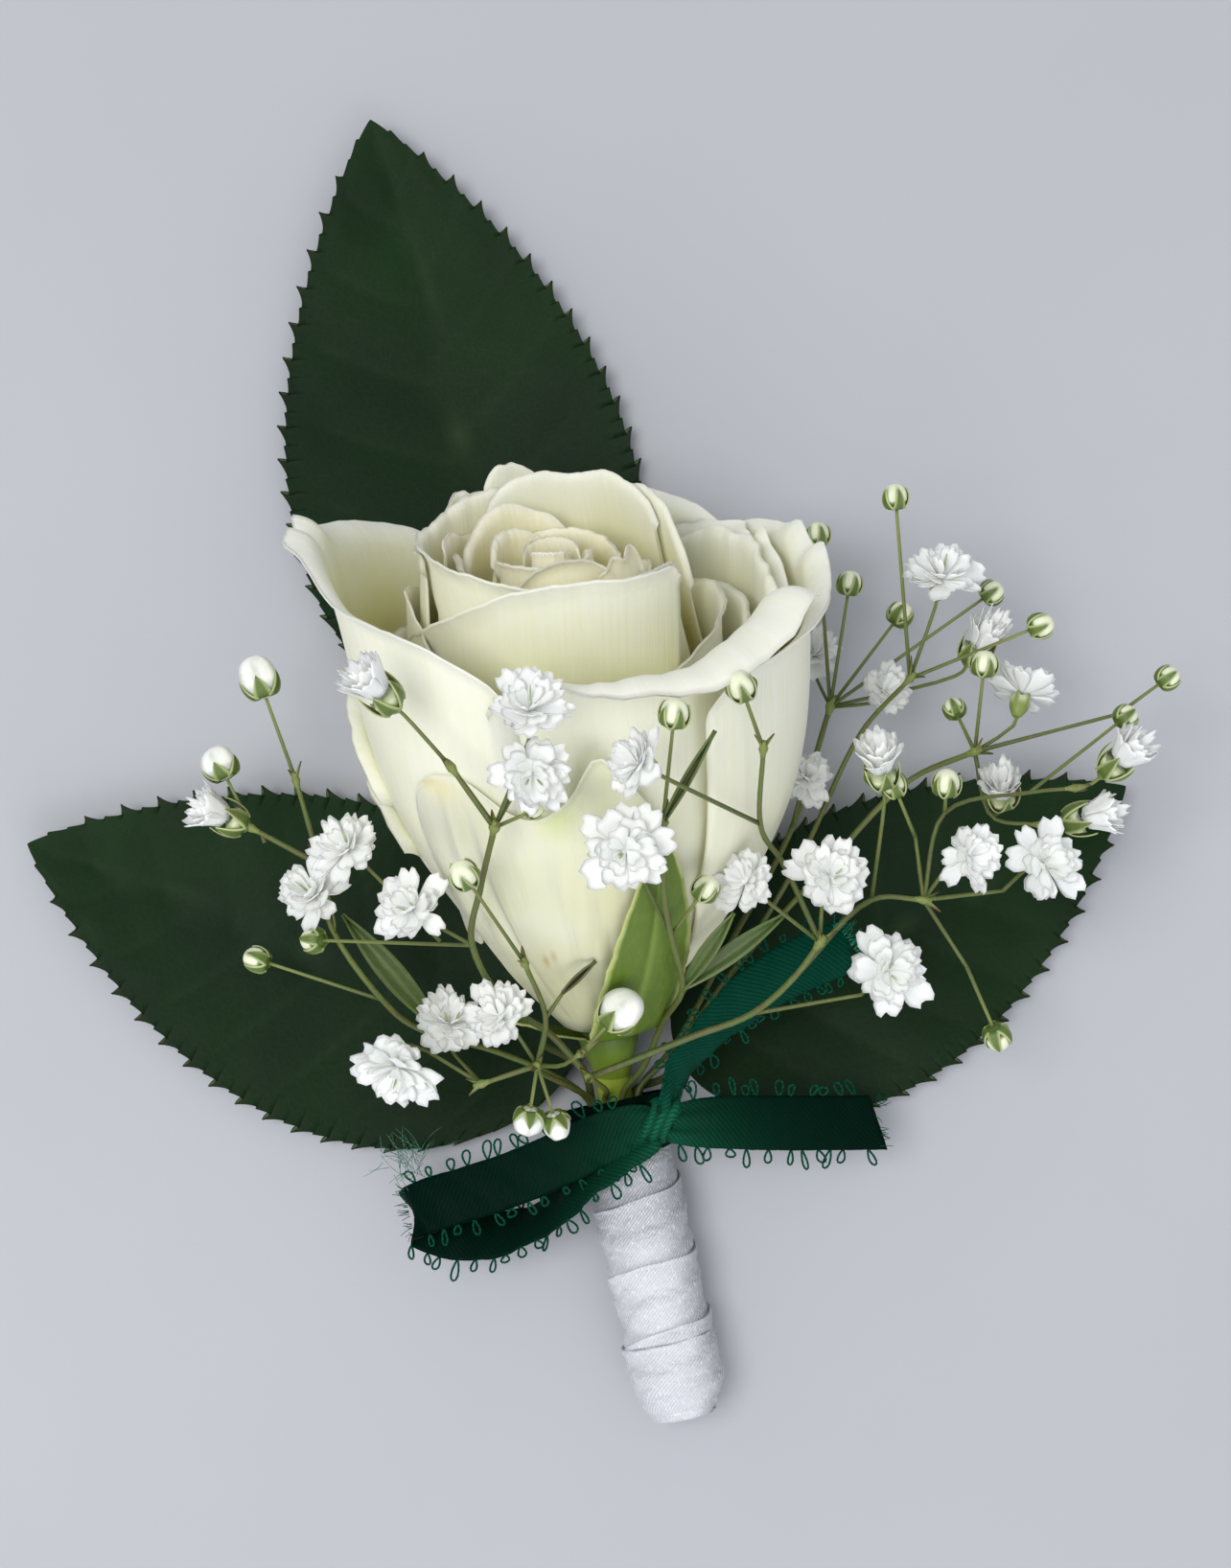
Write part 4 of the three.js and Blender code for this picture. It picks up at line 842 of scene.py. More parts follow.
LEAF_CLEAR = 0.38
LEAF_LOWEST = 0.36
LEAF_PAINTED_SHADE = rgb(22, 50, 18)
LEAF_TIP = rgb(46, 44, 28)
LEAF_UNDER = rgb(76, 96, 68)
LEAF_UNDER_VEIN = rgb(110, 128, 88)
PETIOLE = rgb(84, 92, 52)


def leaf_outline(part):
    """The half width of a leaf, as a part of its widest, from its foot to its tip."""
    part = np.clip(part, 1e-6, 1)
    return 2.7 * part**0.58 * (1 - part) ** 0.91


TOOTH_STEPS = np.array((0.0, 0.3, 0.55, 0.72, 0.84, 0.92, 0.97))


def leaf_teeth(teeth):
    """The rows of a leaf from 0 to 1, how far each is up its tooth, and how tall that tooth is."""
    steps = (np.arange(2 * teeth)[:, None] + TOOTH_STEPS).ravel()
    steps = np.append(steps, 2 * teeth)
    phase = np.mod(steps, 1)[:, None]
    saw = np.where(phase <= 0.92, (phase / 0.92) ** 1.9, (1 - phase) / 0.08)
    tall = np.where(np.mod(np.floor(steps), 2) < 1, 1.0, 0.28)[:, None]
    return (steps / (2 * teeth))[:, None], saw, tall


def rose_leaf(
    name, node, foot, tip, halves, rise, cup, tip_lift, petiole, teeth, crease=0.0, seed=0
):
    """Makes one leaf with hooked teeth, faint veins and its petiole."""
    form = Form()
    start = np.array((*foot, 0.0))
    along = np.array((*tip, 0.0)) - start
    length = np.linalg.norm(along)
    sideways = unit(np.array((-along[1], along[0], 0.0)))
    u = np.sin(np.linspace(-math.pi / 2, math.pi / 2, 31))[None, :]
    v, saw, tall = leaf_teeth(teeth)
    room = np.minimum(1, np.minimum(9 * (1 - v), 10 * v))
    edge = smoothstep(0.9, 1, np.abs(u))
    tooth = 0.9 * saw * tall * room * edge
    width = np.where(u > 0, halves[0], halves[1]) * leaf_outline(v)
    across = u * (width - 0.6 * room) + np.sign(u) * tooth
    slip = v - 0.15 * np.abs(u) ** 1.2 * np.sin(math.pi * np.clip(v, 0.02, 1)) ** 0.5
    near = np.abs(np.mod(slip * 8 + np.where(u > 0, 0.35, 0), 1) - 0.5) * 2
    inside = smoothstep(0.02, 0.12, v) * smoothstep(1, 0.9, v) * smoothstep(0.95, 0.7, np.abs(u))
    vein = bump_at(near, 1, 0.12) * inside
    middle = across - 1.4 * np.sin(2 * math.pi * v)
    midrib = bump_at(middle, 0, 0.3) * smoothstep(1, 0.85, v) + 0 * u
    low = rise * np.maximum(0, 1 - v / 0.3) ** 2 + tip_lift * v**4
    turned = cup * leaf_outline(v) * np.abs(u) ** 1.1
    quilt = 0.2 * (1 - near) * inside
    wave = 0.5 * ripple(9 * v + 1.5 * u, seed, (1, 2.3, 4.1)) * np.abs(u) ** 1.5 * leaf_outline(v)
    fold = crease * (smoothstep(0.52, 0.7, v - 0.2 * u) - 0.5) * leaf_outline(v)
    z = LEAF_CLEAR + low + turned + quilt + 0.35 * np.maximum(wave, -0.6)
    z = z - 0.2 * midrib - 0.08 * vein
    z = np.maximum(z + fold, LEAF_LOWEST)
    grid = start + v[..., None] * along + across[..., None] * sideways
    grid = grid + (0.9 * tooth / length)[..., None] * along
    grid[..., 2] = z + 0 * u
    shade = blend(colour("leaf"), colour("leaf_vein"), 0.55 * midrib + 0.16 * vein)
    # Painted shade: the leaf is darker beyond a slanting line across it, towards its tip.
    shade = blend(shade, LEAF_PAINTED_SHADE, 0.5 * smoothstep(0.55, 0.75, v - 0.2 * u))
    tips = smoothstep(0.3, 0.9, saw * tall) * edge * room
    shade = blend(shade, LEAF_TIP, tips * 0.8)
    under = blend(LEAF_UNDER, LEAF_UNDER_VEIN, 0.6 * midrib + 0.4 * vein)
    place = points_of(across, v * length, 0 * v + seed * 11.0)
    form.sheet(grid, size("leaf") * (1 - 0.4 * np.abs(u) ** 2) + 0 * v, under, place, shade)
    join = grid[int(0.06 * len(v)), 15] + (0, 0, 0.05)
    line = curve_through([*petiole, join], 30)
    form.tube(line, np.linspace(0.55, 0.42, 30), PETIOLE, sides=10)
    form.piece(name, leaf_surface(name + " green"), "leaf", node)


def build_leaves():
    """Cuts the leaves at the top, the left and the right."""
    rose_leaf(
        "top_leaf", "leaf_top", foot=(-8.6, 43.6), tip=(-29.3, 116.7), halves=(22, 19.4),
        rise=0.2, cup=2.2, tip_lift=4, teeth=20, crease=0.9, seed=1,
        petiole=[*root_places(270), (-2, 10, 1.3), (-4.6, 26, 0.7), (-8.2, 42.2, 0.6)],
    )
    rose_leaf(
        "left_leaf", "leaf_left", foot=(-5, 7.6), tip=(-67.9, 32), halves=(19.4, 19.6),
        rise=2.9, cup=2.4, tip_lift=3.5, teeth=19, seed=2,
        petiole=[*root_places(206), (-4.4, 6.4, 3.8)],
    )
    rose_leaf(
        "right_leaf", "leaf_right", foot=(7, 6.6), tip=(57.8, 38.6), halves=(16.5, 16.5),
        rise=3.4, cup=2.6, tip_lift=3.5, teeth=17, seed=3,
        petiole=[*root_places(322), (4.6, 5.2, 3.6)],
    )


# A flower's layers: petals, reach as a part of the radius, rise, width as a part of the radius, and
# the height that they start at.
OPEN = (
    (8, 1.14, 0.7, 0.66, 0.1),
    (7, 0.93, 1.5, 0.58, 0.3),
    (6, 0.66, 2.2, 0.44, 0.5),
    (4, 0.44, 2.7, 0.36, 0.6),
)
GOBLET = ((7, 1.0, 3.5, 0.8, 0.0), (6, 0.8, 3.9, 0.62, 0.2), (5, 0.5, 4.1, 0.46, 0.4))


def facing_matrix(at, direction):
    """The place of something that stands at a point and faces a direction."""
    turn = Vector((0, 0, 1)).rotation_difference(Vector(np.asarray(direction, float)).normalized())
    return Matrix.Translation(Vector(at)) @ turn.to_matrix().to_4x4()


def ring_of(matrix, radius, turns, height):
    """A ring of points at a height above a place."""
    return moved(matrix, points_of(radius * np.cos(turns), radius * np.sin(turns), height))


FLOWER_SHADE = rgb(220, 227, 220)
STYLE_GREEN = rgb(128, 150, 92)


def floret(index, at, facing, radius, layers):
    """Makes one double flower from layers of notched petals."""
    form = Form()
    dice = np.random.default_rng(900 + index)
    matrix = facing_matrix(at, facing)
    u, v = across_and_along(7, 8)
    white = colour("floret")
    for layer, (count, reach, rise, width, low) in enumerate(layers):
        for number in range(count):
            angle = 2 * math.pi * (number + 0.5 * layer) / count + dice.uniform(-0.27, 0.27)
            long = radius * reach * dice.uniform(0.72, 1.08)
            wide = radius * width * dice.uniform(0.72, 1.15)
            up = rise * (dice.uniform(0.65, 1.3) if layers is OPEN else dice.uniform(0.9, 1.15))
            bend = dice.uniform(-0.5, 0.7)
            twist = dice.uniform(-1.1, 1.1)
            tip = 1 - 0.17 * bump_at(u, dice.uniform(-0.25, 0.25), 0.3) - 0.28 * np.abs(u) ** 3
            t = v * tip
            base = 0.14 if layers is OPEN else 0.5
            half = 0.5 * wide * (base + (1 - base) * smoothstep(0, 0.72, t) ** 1.1)
            out = long * t
            if layers is GOBLET:
                out = 1.15 * np.minimum(1, t / 0.12) * reach + (long - 1.15 * reach) * t**1.8
            side = u * half
            steep = 1.5 if layers is OPEN else 1.1
            z = low * t**0.5 + up * t**steep + 0.2 * wide * u**2 * t + twist * side * 0.25
            z = z - bend * t**3 + 0.06 * np.sin(5 * u + 4 * t + number) * t
            grid = moved(matrix, points_of(*turned_by(angle, out, side), z))
            shade = smoothstep(0.4, 0.0, t) * 0.3 + 0.06 * np.abs(np.sin(4 * u)) * (1 - t)
            place = points_of(side, out, 0 * t + 3.1 * number + layer)
            tint = blend(white, FLOWER_SHADE, shade)
            form.sheet(grid, size("floret") * (1.1 - 0.4 * t), tint, place)
    for _ in range(2 if layers is OPEN and radius > 4 else 0):
        angle = dice.uniform(0, 2 * math.pi)
        foot = np.array((0.5 * math.cos(angle), 0.5 * math.sin(angle), 0.9))
        line = [foot * (1 + 0.25 * k) + (0, 0, 0.42 * k) for k in range(4)]
        form.tube(moved(matrix, line), (0.1, 0.12, 0.12, 0.05), STYLE_GREEN, sides=5)
    name = f"floret_{index:02d}"
    form.piece(f"flower_{index:02d}", bpy.data.materials["white flower"], "floret", name)


# How far a flower stands in front of its calyx, and the calyx's length, in millimetres.
CALYX_TOP = 0.65
CALYX_LENGTH = 2.1
# A bud with a larger radius than this, in millimetres, is about to open and is white.
OPENING_BUD = 1.45
BUD_WHITE = rgb(250, 251, 246)
BUD_CREAM = rgb(232, 236, 206)
BUD_GREEN = rgb(76, 100, 40)
BRACT_GREEN = rgb(116, 126, 66)
BRACT_BROWN = rgb(84, 64, 40)
CALYX_GREEN = rgb(126, 144, 70)
CALYX_RIM = rgb(222, 228, 196)
LOBE_GREEN = rgb(86, 108, 44)
LOBE_RIM = rgb(178, 190, 130)
NODE_GREEN = rgb(118, 130, 66)
OLD_STEM = rgb(96, 76, 48)
STEM_TIP = rgb(112, 124, 58)
PEDICEL = rgb(134, 144, 78)
NARROW_EDGE = rgb(110, 128, 64)
NARROW_MIDDLE = rgb(104, 122, 60)


class Spray:
    """One spray of baby's breath: its stems, buds, calyxes and narrow leaves, and its flowers."""

    count = 0

    def __init__(self, name):
        self.name = name
        self.form = Form()
        self.dice = np.random.default_rng(len(name) * 17 + Spray.count)

    def stem(self, kind, *places):
        """Adds a stem through places, with a joint at its end unless it is short and fine."""
        radius = size(kind)
        places = [np.asarray(place, float) for place in places]
        length = sum(np.linalg.norm(b - a) for a, b in zip(places, places[1:]))
        count = max(4, int(length / 1.4)) + 1
        line = curve_through(places, count)
        along = np.linspace(0, 1, count)
        thick = radius * (1.06 - 0.22 * along) + 0.02 * ripple(20 * along, int(length * 10))
        shade = blend(colour("sprig"), STEM_TIP, along * 0.5)
        shade = blend(shade, OLD_STEM, 0.3 * (ripple(9 * along, int(length * 7)) > 0.35))
        self.form.tube(line, thick, shade, sides=7)
        if len(places) > 2 or kind != FINE:
            self.node(line[-1], unit(line[-1] - line[-3]), radius)
        return self

    def node(self, at, direction, radius):
        """Adds a swollen joint with a pair of small pointed bracts."""
        matrix = facing_matrix(at, direction)
        heights = np.linspace(-1.0, 0.9, 7)
        swell = radius * (0.9 + 0.75 * np.exp(-((heights / 0.45) ** 2)))
        rings = [ring_of(matrix, r, circle(8), h) for h, r in zip(heights, swell)]
        self.form.loft(rings, NODE_GREEN)
        turn = self.dice.uniform(0, math.pi)
        for side in (turn, turn + math.pi):
            length = self.dice.uniform(1.3, 2.2)
            lean = self.dice.uniform(0.2, 0.7)
            self.bract(matrix, side, radius * 1.2, length, lean)

    def bract(self, matrix, angle, start, length, lean):
        """Adds a small pointed leaf at a joint, browner towards its tip."""
        u, v = across_and_along(5, 6)
        out = start * 0.6 + lean * length * v**1.3
        up = length * v
        side = u * (0.42 * (1 - v) ** 0.8 + 0.04)
        out = out - 0.25 * u**2 * (1 - v)
        grid = moved(matrix, points_of(*turned_by(angle, out, side), up))
        shade = blend(BRACT_GREEN, BRACT_BROWN, smoothstep(0.35, 1, v) + 0 * u)
        self.form.sheet(grid, 0.12, shade, grid)

    def bud(self, start, at, radius=1.3, length=3.0):
        """Adds a closed bud, green below and striped white above, on its pedicel."""
        at = np.asarray(at, float)
        direction = unit(at - np.asarray(start, float))
        matrix = facing_matrix(at, direction)
        opening = radius > OPENING_BUD
        groove = 0.09 if opening else 0.04
        turns = circle(15)
        rings = []
        colours = []
        for part in np.linspace(0.02, math.pi - 0.02, 15):
            h = -math.cos(part) * length / 2
            twisted = np.cos(5 * turns + 2 * groove * part)
            r = radius * math.sin(part) ** 0.85 * (1 + groove * twisted)
            rings.append(ring_of(matrix, r, turns, h))
            stripe = smoothstep(-0.5, 0.6, np.cos(5 * turns))
            tall = (1 - math.cos(part)) / 2
            green = smoothstep(0.4, 0.25, tall) + stripe * smoothstep(1.0, 0.7, tall)
            top = BUD_WHITE if opening else BUD_CREAM
            colours.append(blend(top, BUD_GREEN, green * (0.35 if opening else 1)))
        self.form.loft(rings, np.array(colours))
        self.pedicel(start, at - direction * length / 3)
        self.calyx_lobes(matrix, radius, length, 0.4 if opening else 0.6)
        return self

    def pedicel(self, *places):
        """Adds the fine stalk of a bud or flower."""
        radius = size("fine_stem")
        places = [np.asarray(place, float) for place in places]
        span = np.linalg.norm(places[-1] - places[0])
        count = max(4, int(span / 1.4)) + 1
        line = curve_through(places, count)
        shade = blend(colour("sprig"), PEDICEL, np.linspace(0, 0.8, count))
        self.form.tube(line, np.linspace(radius, radius * 0.8, count), shade, sides=6)

    def calyx_lobes(self, matrix, radius, length, reach):
        """Adds five green lobes that clasp a bud or a half open flower."""
        u, v = across_and_along(5, 8)
        part = math.pi * (0.12 + reach * v)
        h = -np.cos(part) * length / 2
        r = radius * np.sin(part) ** 0.85 + 0.1 + 0.04 * v
        side = u * radius * 0.5 * (1 - v**2) + 0.02 * u
        shade = blend(LOBE_GREEN, LOBE_RIM, smoothstep(0.6, 1, np.abs(u)) + 0 * v)
        for number in range(5):
            out_and_side = turned_by(2 * math.pi * number / 5, r, side)
            grid = moved(matrix, points_of(*out_and_side, h))
            self.form.sheet(grid, 0.14, shade, grid)

    def flower(self, start, at, facing, radius=4.6, layers=OPEN):
        """Adds a calyx on its pedicel, and the flower in front of it."""
        at = np.asarray(at, float)
        direction = unit(facing)
        low = at - direction * (CALYX_TOP + CALYX_LENGTH)
        matrix = facing_matrix(low, direction)
        turns = circle(15)
        rings = []
        colours = []
        for part in np.linspace(0, 1, 8):
            r = 0.42 + (0.78 if layers is OPEN else 1.15) * math.sin(part * math.pi / 2) ** 0.8
            lobe = smoothstep(0.6, 1, part) * (0.2 + 0.4 * np.cos(5 * turns))
            rings.append(ring_of(matrix, r, turns, CALYX_LENGTH * part + lobe))
            rim = smoothstep(0.5, 1, part) * smoothstep(0.3, -0.8, np.cos(5 * turns))
            colours.append(blend(CALYX_GREEN, CALYX_RIM, rim))
        self.form.loft(rings, np.array(colours))
        if layers is GOBLET:
            around = facing_matrix(low + direction * 3.2, direction)
            self.calyx_lobes(around, 1.85, 5.6, 0.45)
        self.pedicel(start, low - direction * 1.2, low + direction * 0.5)
        Spray.count += 1
        floret(Spray.count, at, facing, radius, layers)
        return self

    def leaf(self, root, tip, width, tint=(96, 118, 52)):
        """Adds a narrow folded leaf from its root to its tip."""
        start = np.asarray(root, float)
        along = np.asarray(tip, float) - start
        across = unit(np.cross(along, (0, 0, 1)))
        u, v = across_and_along(7, 22)
        half = np.maximum(0.12, (width / 2) * np.sin(math.pi * (0.1 + 0.89 * v)))
        bow = 0.8 * np.sin(math.pi * v) + 0.5 * np.abs(u)
        grid = start + v[..., None] * along + (u * half)[..., None] * across
        grid[..., 2] += bow
        shade = blend(rgb(*tint), NARROW_EDGE, smoothstep(0.75, 1, np.abs(u)) * 0.4 + 0 * v)
        shade = blend(shade, NARROW_MIDDLE, bump_at(u, 0, 0.15) * 0.35 + 0 * v)
        place = points_of(u * half, v * np.linalg.norm(along), 0 * v)
        self.form.sheet(grid, 0.22, shade, place)
        return self

    def finish(self):
        """Makes the piece from all that was added."""
        sprig = self.name.replace("spray_", "sprig_")
        self.form.piece(sprig, bpy.data.materials["sprig green"], "spray_green", self.name)


# Each spray is built up from the tape outwards. Its places are millimetres in the part's frame.
FLOWERS = 27
MAIN = "main_stem"
SIDE = "side_stem"
FINE = "fine_stem"


def left_spray():
    fork = (-22.5, 11, 14.5)
    lower = (-26, 14, 18)
    turn = (-31.5, 22, 20)
    upper = (-32.5, 28.5, 22)
    shared = (-40, 32.5, 22)
    (Spray("spray_left")
     .stem(MAIN, *root_places(180), (-7, 5.4, 7.6), (-14, 8.4, 10.6), fork, lower, turn, upper)
     .leaf((-20.5, 11.5, 13.8), (-30.6, 23.4, 16), 2.8, (60, 80, 30))
     .bud(lower, (-40, 18.5, 16))
     .flower((-31, 21.3, 19.8), (-32.6, 25, 26.6), (-0.4, 0.4, 0.8), 4.2)
     .stem(SIDE, upper, (-35, 37.5, 24))
     .bud((-35, 37.5, 24), (-39, 48.5, 25), 2, 4.8)
     .stem(SIDE, upper, shared)
     .bud(shared, (-43.5, 39.5, 22), 1.9, 3.8)
     .flower((-38.6, 31, 21.6), (-42.6, 33.6, 22.4), (-0.85, 0.35, 0.4), 3, GOBLET)
     .finish())


def low_spray():
    knob = (-9, 7, 23.2)
    left_fork = (-15, 5, 22.5)
    upper_fork = (-8, 12, 28.4)
    bend = (-10, 17.6, 35.6)
    (Spray("spray_low")
     .stem(MAIN, *root_places(148), (-5.6, 4.4, 10.2), (-8.6, 6, 15), knob)
     .bud(knob, (-10, 1, 20.5), 1.6, 3.2)
     .bud(knob, (-7, 0.5, 19.5), 1.5, 3.2)
     .stem(SIDE, knob, left_fork)
     .flower(left_fork, (-24, 6.8, 22.5), (-0.3, -0.6, 0.75), 5)
     .flower(left_fork, (-18.6, 11.4, 17.8), (0.1, 0.55, 0.8), 4.2)
     .stem(SIDE, knob, upper_fork, bend)
     .bud(bend, (-15.6, 26, 48.6), 1.4, 3.2)
     .flower(knob, (-12.8, 12.2, 30.4), (-0.25, 0.2, 0.95), 3.8)
     .bud((-4.4, 8.2, 28.6), (0, 12.8, 30.6), 2.2, 4.8)
     .stem(FINE, knob, (-6.4, 7, 26), (-4.4, 8.2, 28.6))
     .leaf((-6.2, 14.6, 29.6), (-2.7, 17.9, 31.8), 0.7, (50, 42, 28))
     .stem(FINE, (-8, 12, 28.4), (-6.2, 14.6, 29.6))
     .finish())


def front_spray():
    fork = (-3.5, 5.6, 17)
    high = (-15.5, 19.5, 33)
    top = (-12.5, 30.5, 50.6)
    left = (-16.5, 36, 54.6)
    low = (7.5, 10, 20)
    bracts = (14, 12.5, 22)
    right = (18.5, 16.5, 25)
    crown = (21, 20, 27)
    middle = (26.5, 24.5, 27)
    wide = (32, 24.5, 27)
    across = (34, 33.5, 30)
    far = (43.5, 36, 26)
    end = (48.4, 36.6, 24.6)
    pair = (14, 31.5, 41.5)
    (Spray("spray_front")
     .stem(MAIN, *root_places(112), (-1.6, 4, 12), fork)
     .stem(MAIN, fork, (-7.6, 10.2, 19.6), (-12.4, 13.6, 26), high, (-14.2, 25, 43), top)
     .bud(high, (-33.5, 20.5, 19))
     .flower(high, (-21.7, 23.2, 35.2), (-0.25, 0.2, 0.9), 4.2)
     .flower((-19, 20, 30.4), (-28.6, 29.6, 31.6), (-0.35, 0.35, 0.85), 4.2)
     .stem(SIDE, top, left)
     .flower(left, (-23.2, 43, 57), (-0.6, 0.55, 0.6), 3, GOBLET)
     .bud(top, (-8.5, 32, 53), 0.8, 1.8)
     .flower(top, (-8.6, 35, 57.6), (0.1, -0.3, 1), 4.1)
     .flower(top, (-8.8, 40.8, 61.6), (0, 0.5, 0.87), 4.1)
     .stem(MAIN, fork, low, bracts, right, crown)
     .flower(crown, (21.6, 26.6, 33.6), (0.1, 0.2, 0.97), 4.6)
     .flower(crown, (12.7, 25.8, 37.4), (-0.3, 0.2, 0.93), 3.6)
     .stem(FINE, bracts, (25.5, 14.5, 25.6))
     .flower((25.5, 14.5, 25.6), (28, 17, 29.6), (0.2, -0.1, 1), 4.6)
     .stem(SIDE, right, middle, wide)
     .flower(wide, (36.4, 28.8, 32), (0.3, 0, 0.95), 4)
     .flower((40.5, 25.5, 26.4), (44.6, 28.2, 28.8), (0.25, 0, 0.95), 4.4)
     .stem(FINE, wide, (40.5, 25.5, 26.4))
     .stem(FINE, wide, (37, 17.5, 23))
     .bud((37, 17.5, 23), (41, 10, 17), 1.4, 3.2)
     .stem(FINE, wide, (31, 31, 29))
     .bud((31, 31, 29), (28.5, 36.5, 31))
     .flower(middle, (27, 37.8, 33.6), (-0.15, 0.6, 0.7), 3, GOBLET)
     .stem(FINE, wide, across, far, end)
     .bud(across, (34, 36.5, 32), 1.4, 3)
     .bud(far, (54.5, 44.5, 23), 1.2, 2.6)
     .flower(end, (53, 39.4, 26.2), (0.6, 0.55, 0.5), 2.8, GOBLET)
     .stem(SIDE, crown, (17.2, 27.6, 31), pair, (14, 38.5, 48))
     .bud((14, 38.5, 48), (11.5, 44, 54.6), 1.4, 3.2)
     .flower(pair, (1.6, 35.8, 60.4), (-0.7, 0.3, 0.7), 3.6)
     .finish())


def centre_spray():
    low = (4.4, 11.4, 17.2)
    fork = (6.4, 15.2, 28.6)
    middle = (5, 20.4, 38.2)
    bend = (4.2, 24.4, 43.8)
    upper = (4, 31, 50.6)
    (Spray("spray_centre")
     .stem(MAIN, *root_places(72), (2.4, 6.6, 11.4), low, fork, middle, bend, upper)
     .flower(middle, (0.4, 28.2, 52.6), (0, -0.15, 1), 4.6)
     .bud(middle, (8.5, 25, 41.6), 1.3, 2.8)
     .bud(upper, (5, 41, 57.6), 1.4, 3)
     .leaf(upper, (9, 39.6, 54.4), 0.9, (58, 70, 34))
     .leaf(fork, (17.4, 23, 29.4), 2, (62, 84, 38))
     .leaf(fork, (11.6, 22.8, 34.6), 1.7, (66, 88, 40))
     .finish())


def right_spray():
    low = (13, 18, 10.5)
    inner = (31.5, 38, 16.5)
    outer = (38.5, 41, 20)
    forward = (40.5, 34, 18.4)
    upper = (26.5, 43.5, 15.5)
    crown = (31.5, 49, 20)
    (Spray("spray_right")
     .stem(MAIN, *root_places(22), (5.6, 8, 8), low, (22, 28, 13), inner, outer)
     .bud(outer, (39, 50, 25), 1.4, 2.8)
     .bud(outer, (36.6, 46, 17.5), 1.1, 2.4)
     .flower(outer, (44, 47.4, 18), (0.25, 0.75, -0.3), 4.2)
     .stem(FINE, outer, (54, 45, 21))
     .bud((54, 45, 21), (59.5, 49, 21), 1.2, 2.6)
     .stem(FINE, outer, forward, (45.4, 33, 20))
     .flower((45.4, 33, 20), (50, 33.6, 21.6), (0.85, 0.2, 0.3), 2.8, GOBLET)
     .flower(forward, (41.2, 36.4, 21.4), (-0.1, 0.4, 0.85), 2.8, GOBLET)
     .stem(SIDE, low, (20, 30, 13), upper, crown)
     .bud(crown, (29.5, 68, 26), 1.3, 2.8)
     .flower(crown, (34.5, 59.2, 25), (0.1, 0.65, 0.7), 4.6)
     .bud(crown, (45, 54, 26), 1.3, 2.8)
     .finish())


def back_spray():
    low = (19, 33, 10)
    fork = (23.5, 47, 10.5)
    (Spray("spray_back")
     .stem(MAIN, *root_places(352), (6, 9, 5.8), (12, 20, 6.6), low, fork)
     .bud(fork, (25.5, 60.5, 14), 1.3, 2.8)
     .bud(fork, (22, 66, 14), 1.3, 2.8)
     .bud(fork, (31.5, 57.5, 10.5), 1.4, 2.8)
     .bud(fork, (41, 59, 17), 1.3, 2.6)
     .flower(fork, (39.4, 53, 16.5), (0.4, 0.65, 0.6), 2.8, GOBLET)
     .flower(fork, (29.2, 48.2, 14.6), (0.2, 0.2, 0.95), 3.2)
     .flower(fork, (21.8, 53.4, 7.2), (-0.1, 0.4, 0.9), 3.4)
     .flower(low, (20.4, 38.4, 16.8), (0.05, 0.15, 0.95), 3.4)
     .finish())


def build_sprays():
    """Makes the sprays one after another, which numbers their flowers."""
    stem_surface("sprig green", dry=rgb(92, 74, 40), dry_share=0.35)
    petal_surface(
        "white flower", warm=rgb(228, 232, 236), light=rgb(255, 255, 255), streaks=0.3
    )
    Spray.count = 0
    left_spray()
    low_spray()
    front_spray()
    centre_spray()
    right_spray()
    back_spray()


def flattened(points, flat):
    """Keeps points of a round bundle above the flat side that they lie on."""
    points = np.array(points, float)
    points[..., 2] = np.maximum(points[..., 2], -flat)
    return points


SATIN_LIT = rgb(200, 202, 209)
SATIN_PAINTED_SHADE = rgb(122, 125, 130)
SATIN_END = rgb(214, 216, 223)
SATIN_GLINT = rgb(246, 247, 250)


def wound_strip(width):
    """The wound satin strip: its grid, its angles, and its places along the stems and across it."""
    run = WRAP_BEGIN - WRAP_END - width + 1.6
    turns = LEVEL_TURNS + run / WRAP_PITCH + CLOSING_TURNS
    turned = np.linspace(0, turns, int(turns * 64) + 1)[None, :]
    phi = turned * 2 * math.pi + WRAP_START_ANGLE
    w = np.linspace(0, 1, 25)[:, None]
    descent = WRAP_PITCH * (turned - LEVEL_TURNS + 0.1 * np.cos(phi))
    y = WRAP_BEGIN - np.clip(descent, 0, run) - w * width
    y = y + 0.3 * ripple(phi, 5, (1.3, 2.9)) * (1 - w) * smoothstep(0.7, 1.4, turned)
    pleat = ripple(3 * phi + 0.9 * y, 8, (1, 2.3, 4.1)) * (0.14 + 0.3 * smoothstep(-4, -24, y))
    crease = ripple(1.5 * y + 2.4 * np.sin(phi) + 0.9 * phi, 9, (1, 2.1, 3.7)) * 0.34
    crease = crease * smoothstep(-1, -10, y)
    grown = 0.3 * smoothstep(turns - 1.3, turns, turned) - 0.2 * smoothstep(1.1, 0.2, turned)
    radius = WRAP_RADIUS + grown + 0.4 * (1 - w) ** 1.2
    radius = radius + (0.6 * pleat + crease) * (1 - 0.5 * w)
    radius = radius - 1.5 * smoothstep(WRAP_END + 4, WRAP_END, y)
    radius = radius * (1 - 0.03 * bump_at(y, -22, 5))
    y = np.clip(y, WRAP_END + 0.1, WRAP_BEGIN)
    local = points_of(radius * np.cos(phi), y, radius * np.sin(phi))
    return moved(BUNDLE, flattened(local, WRAP_FLAT - 0.05)), phi, y, w


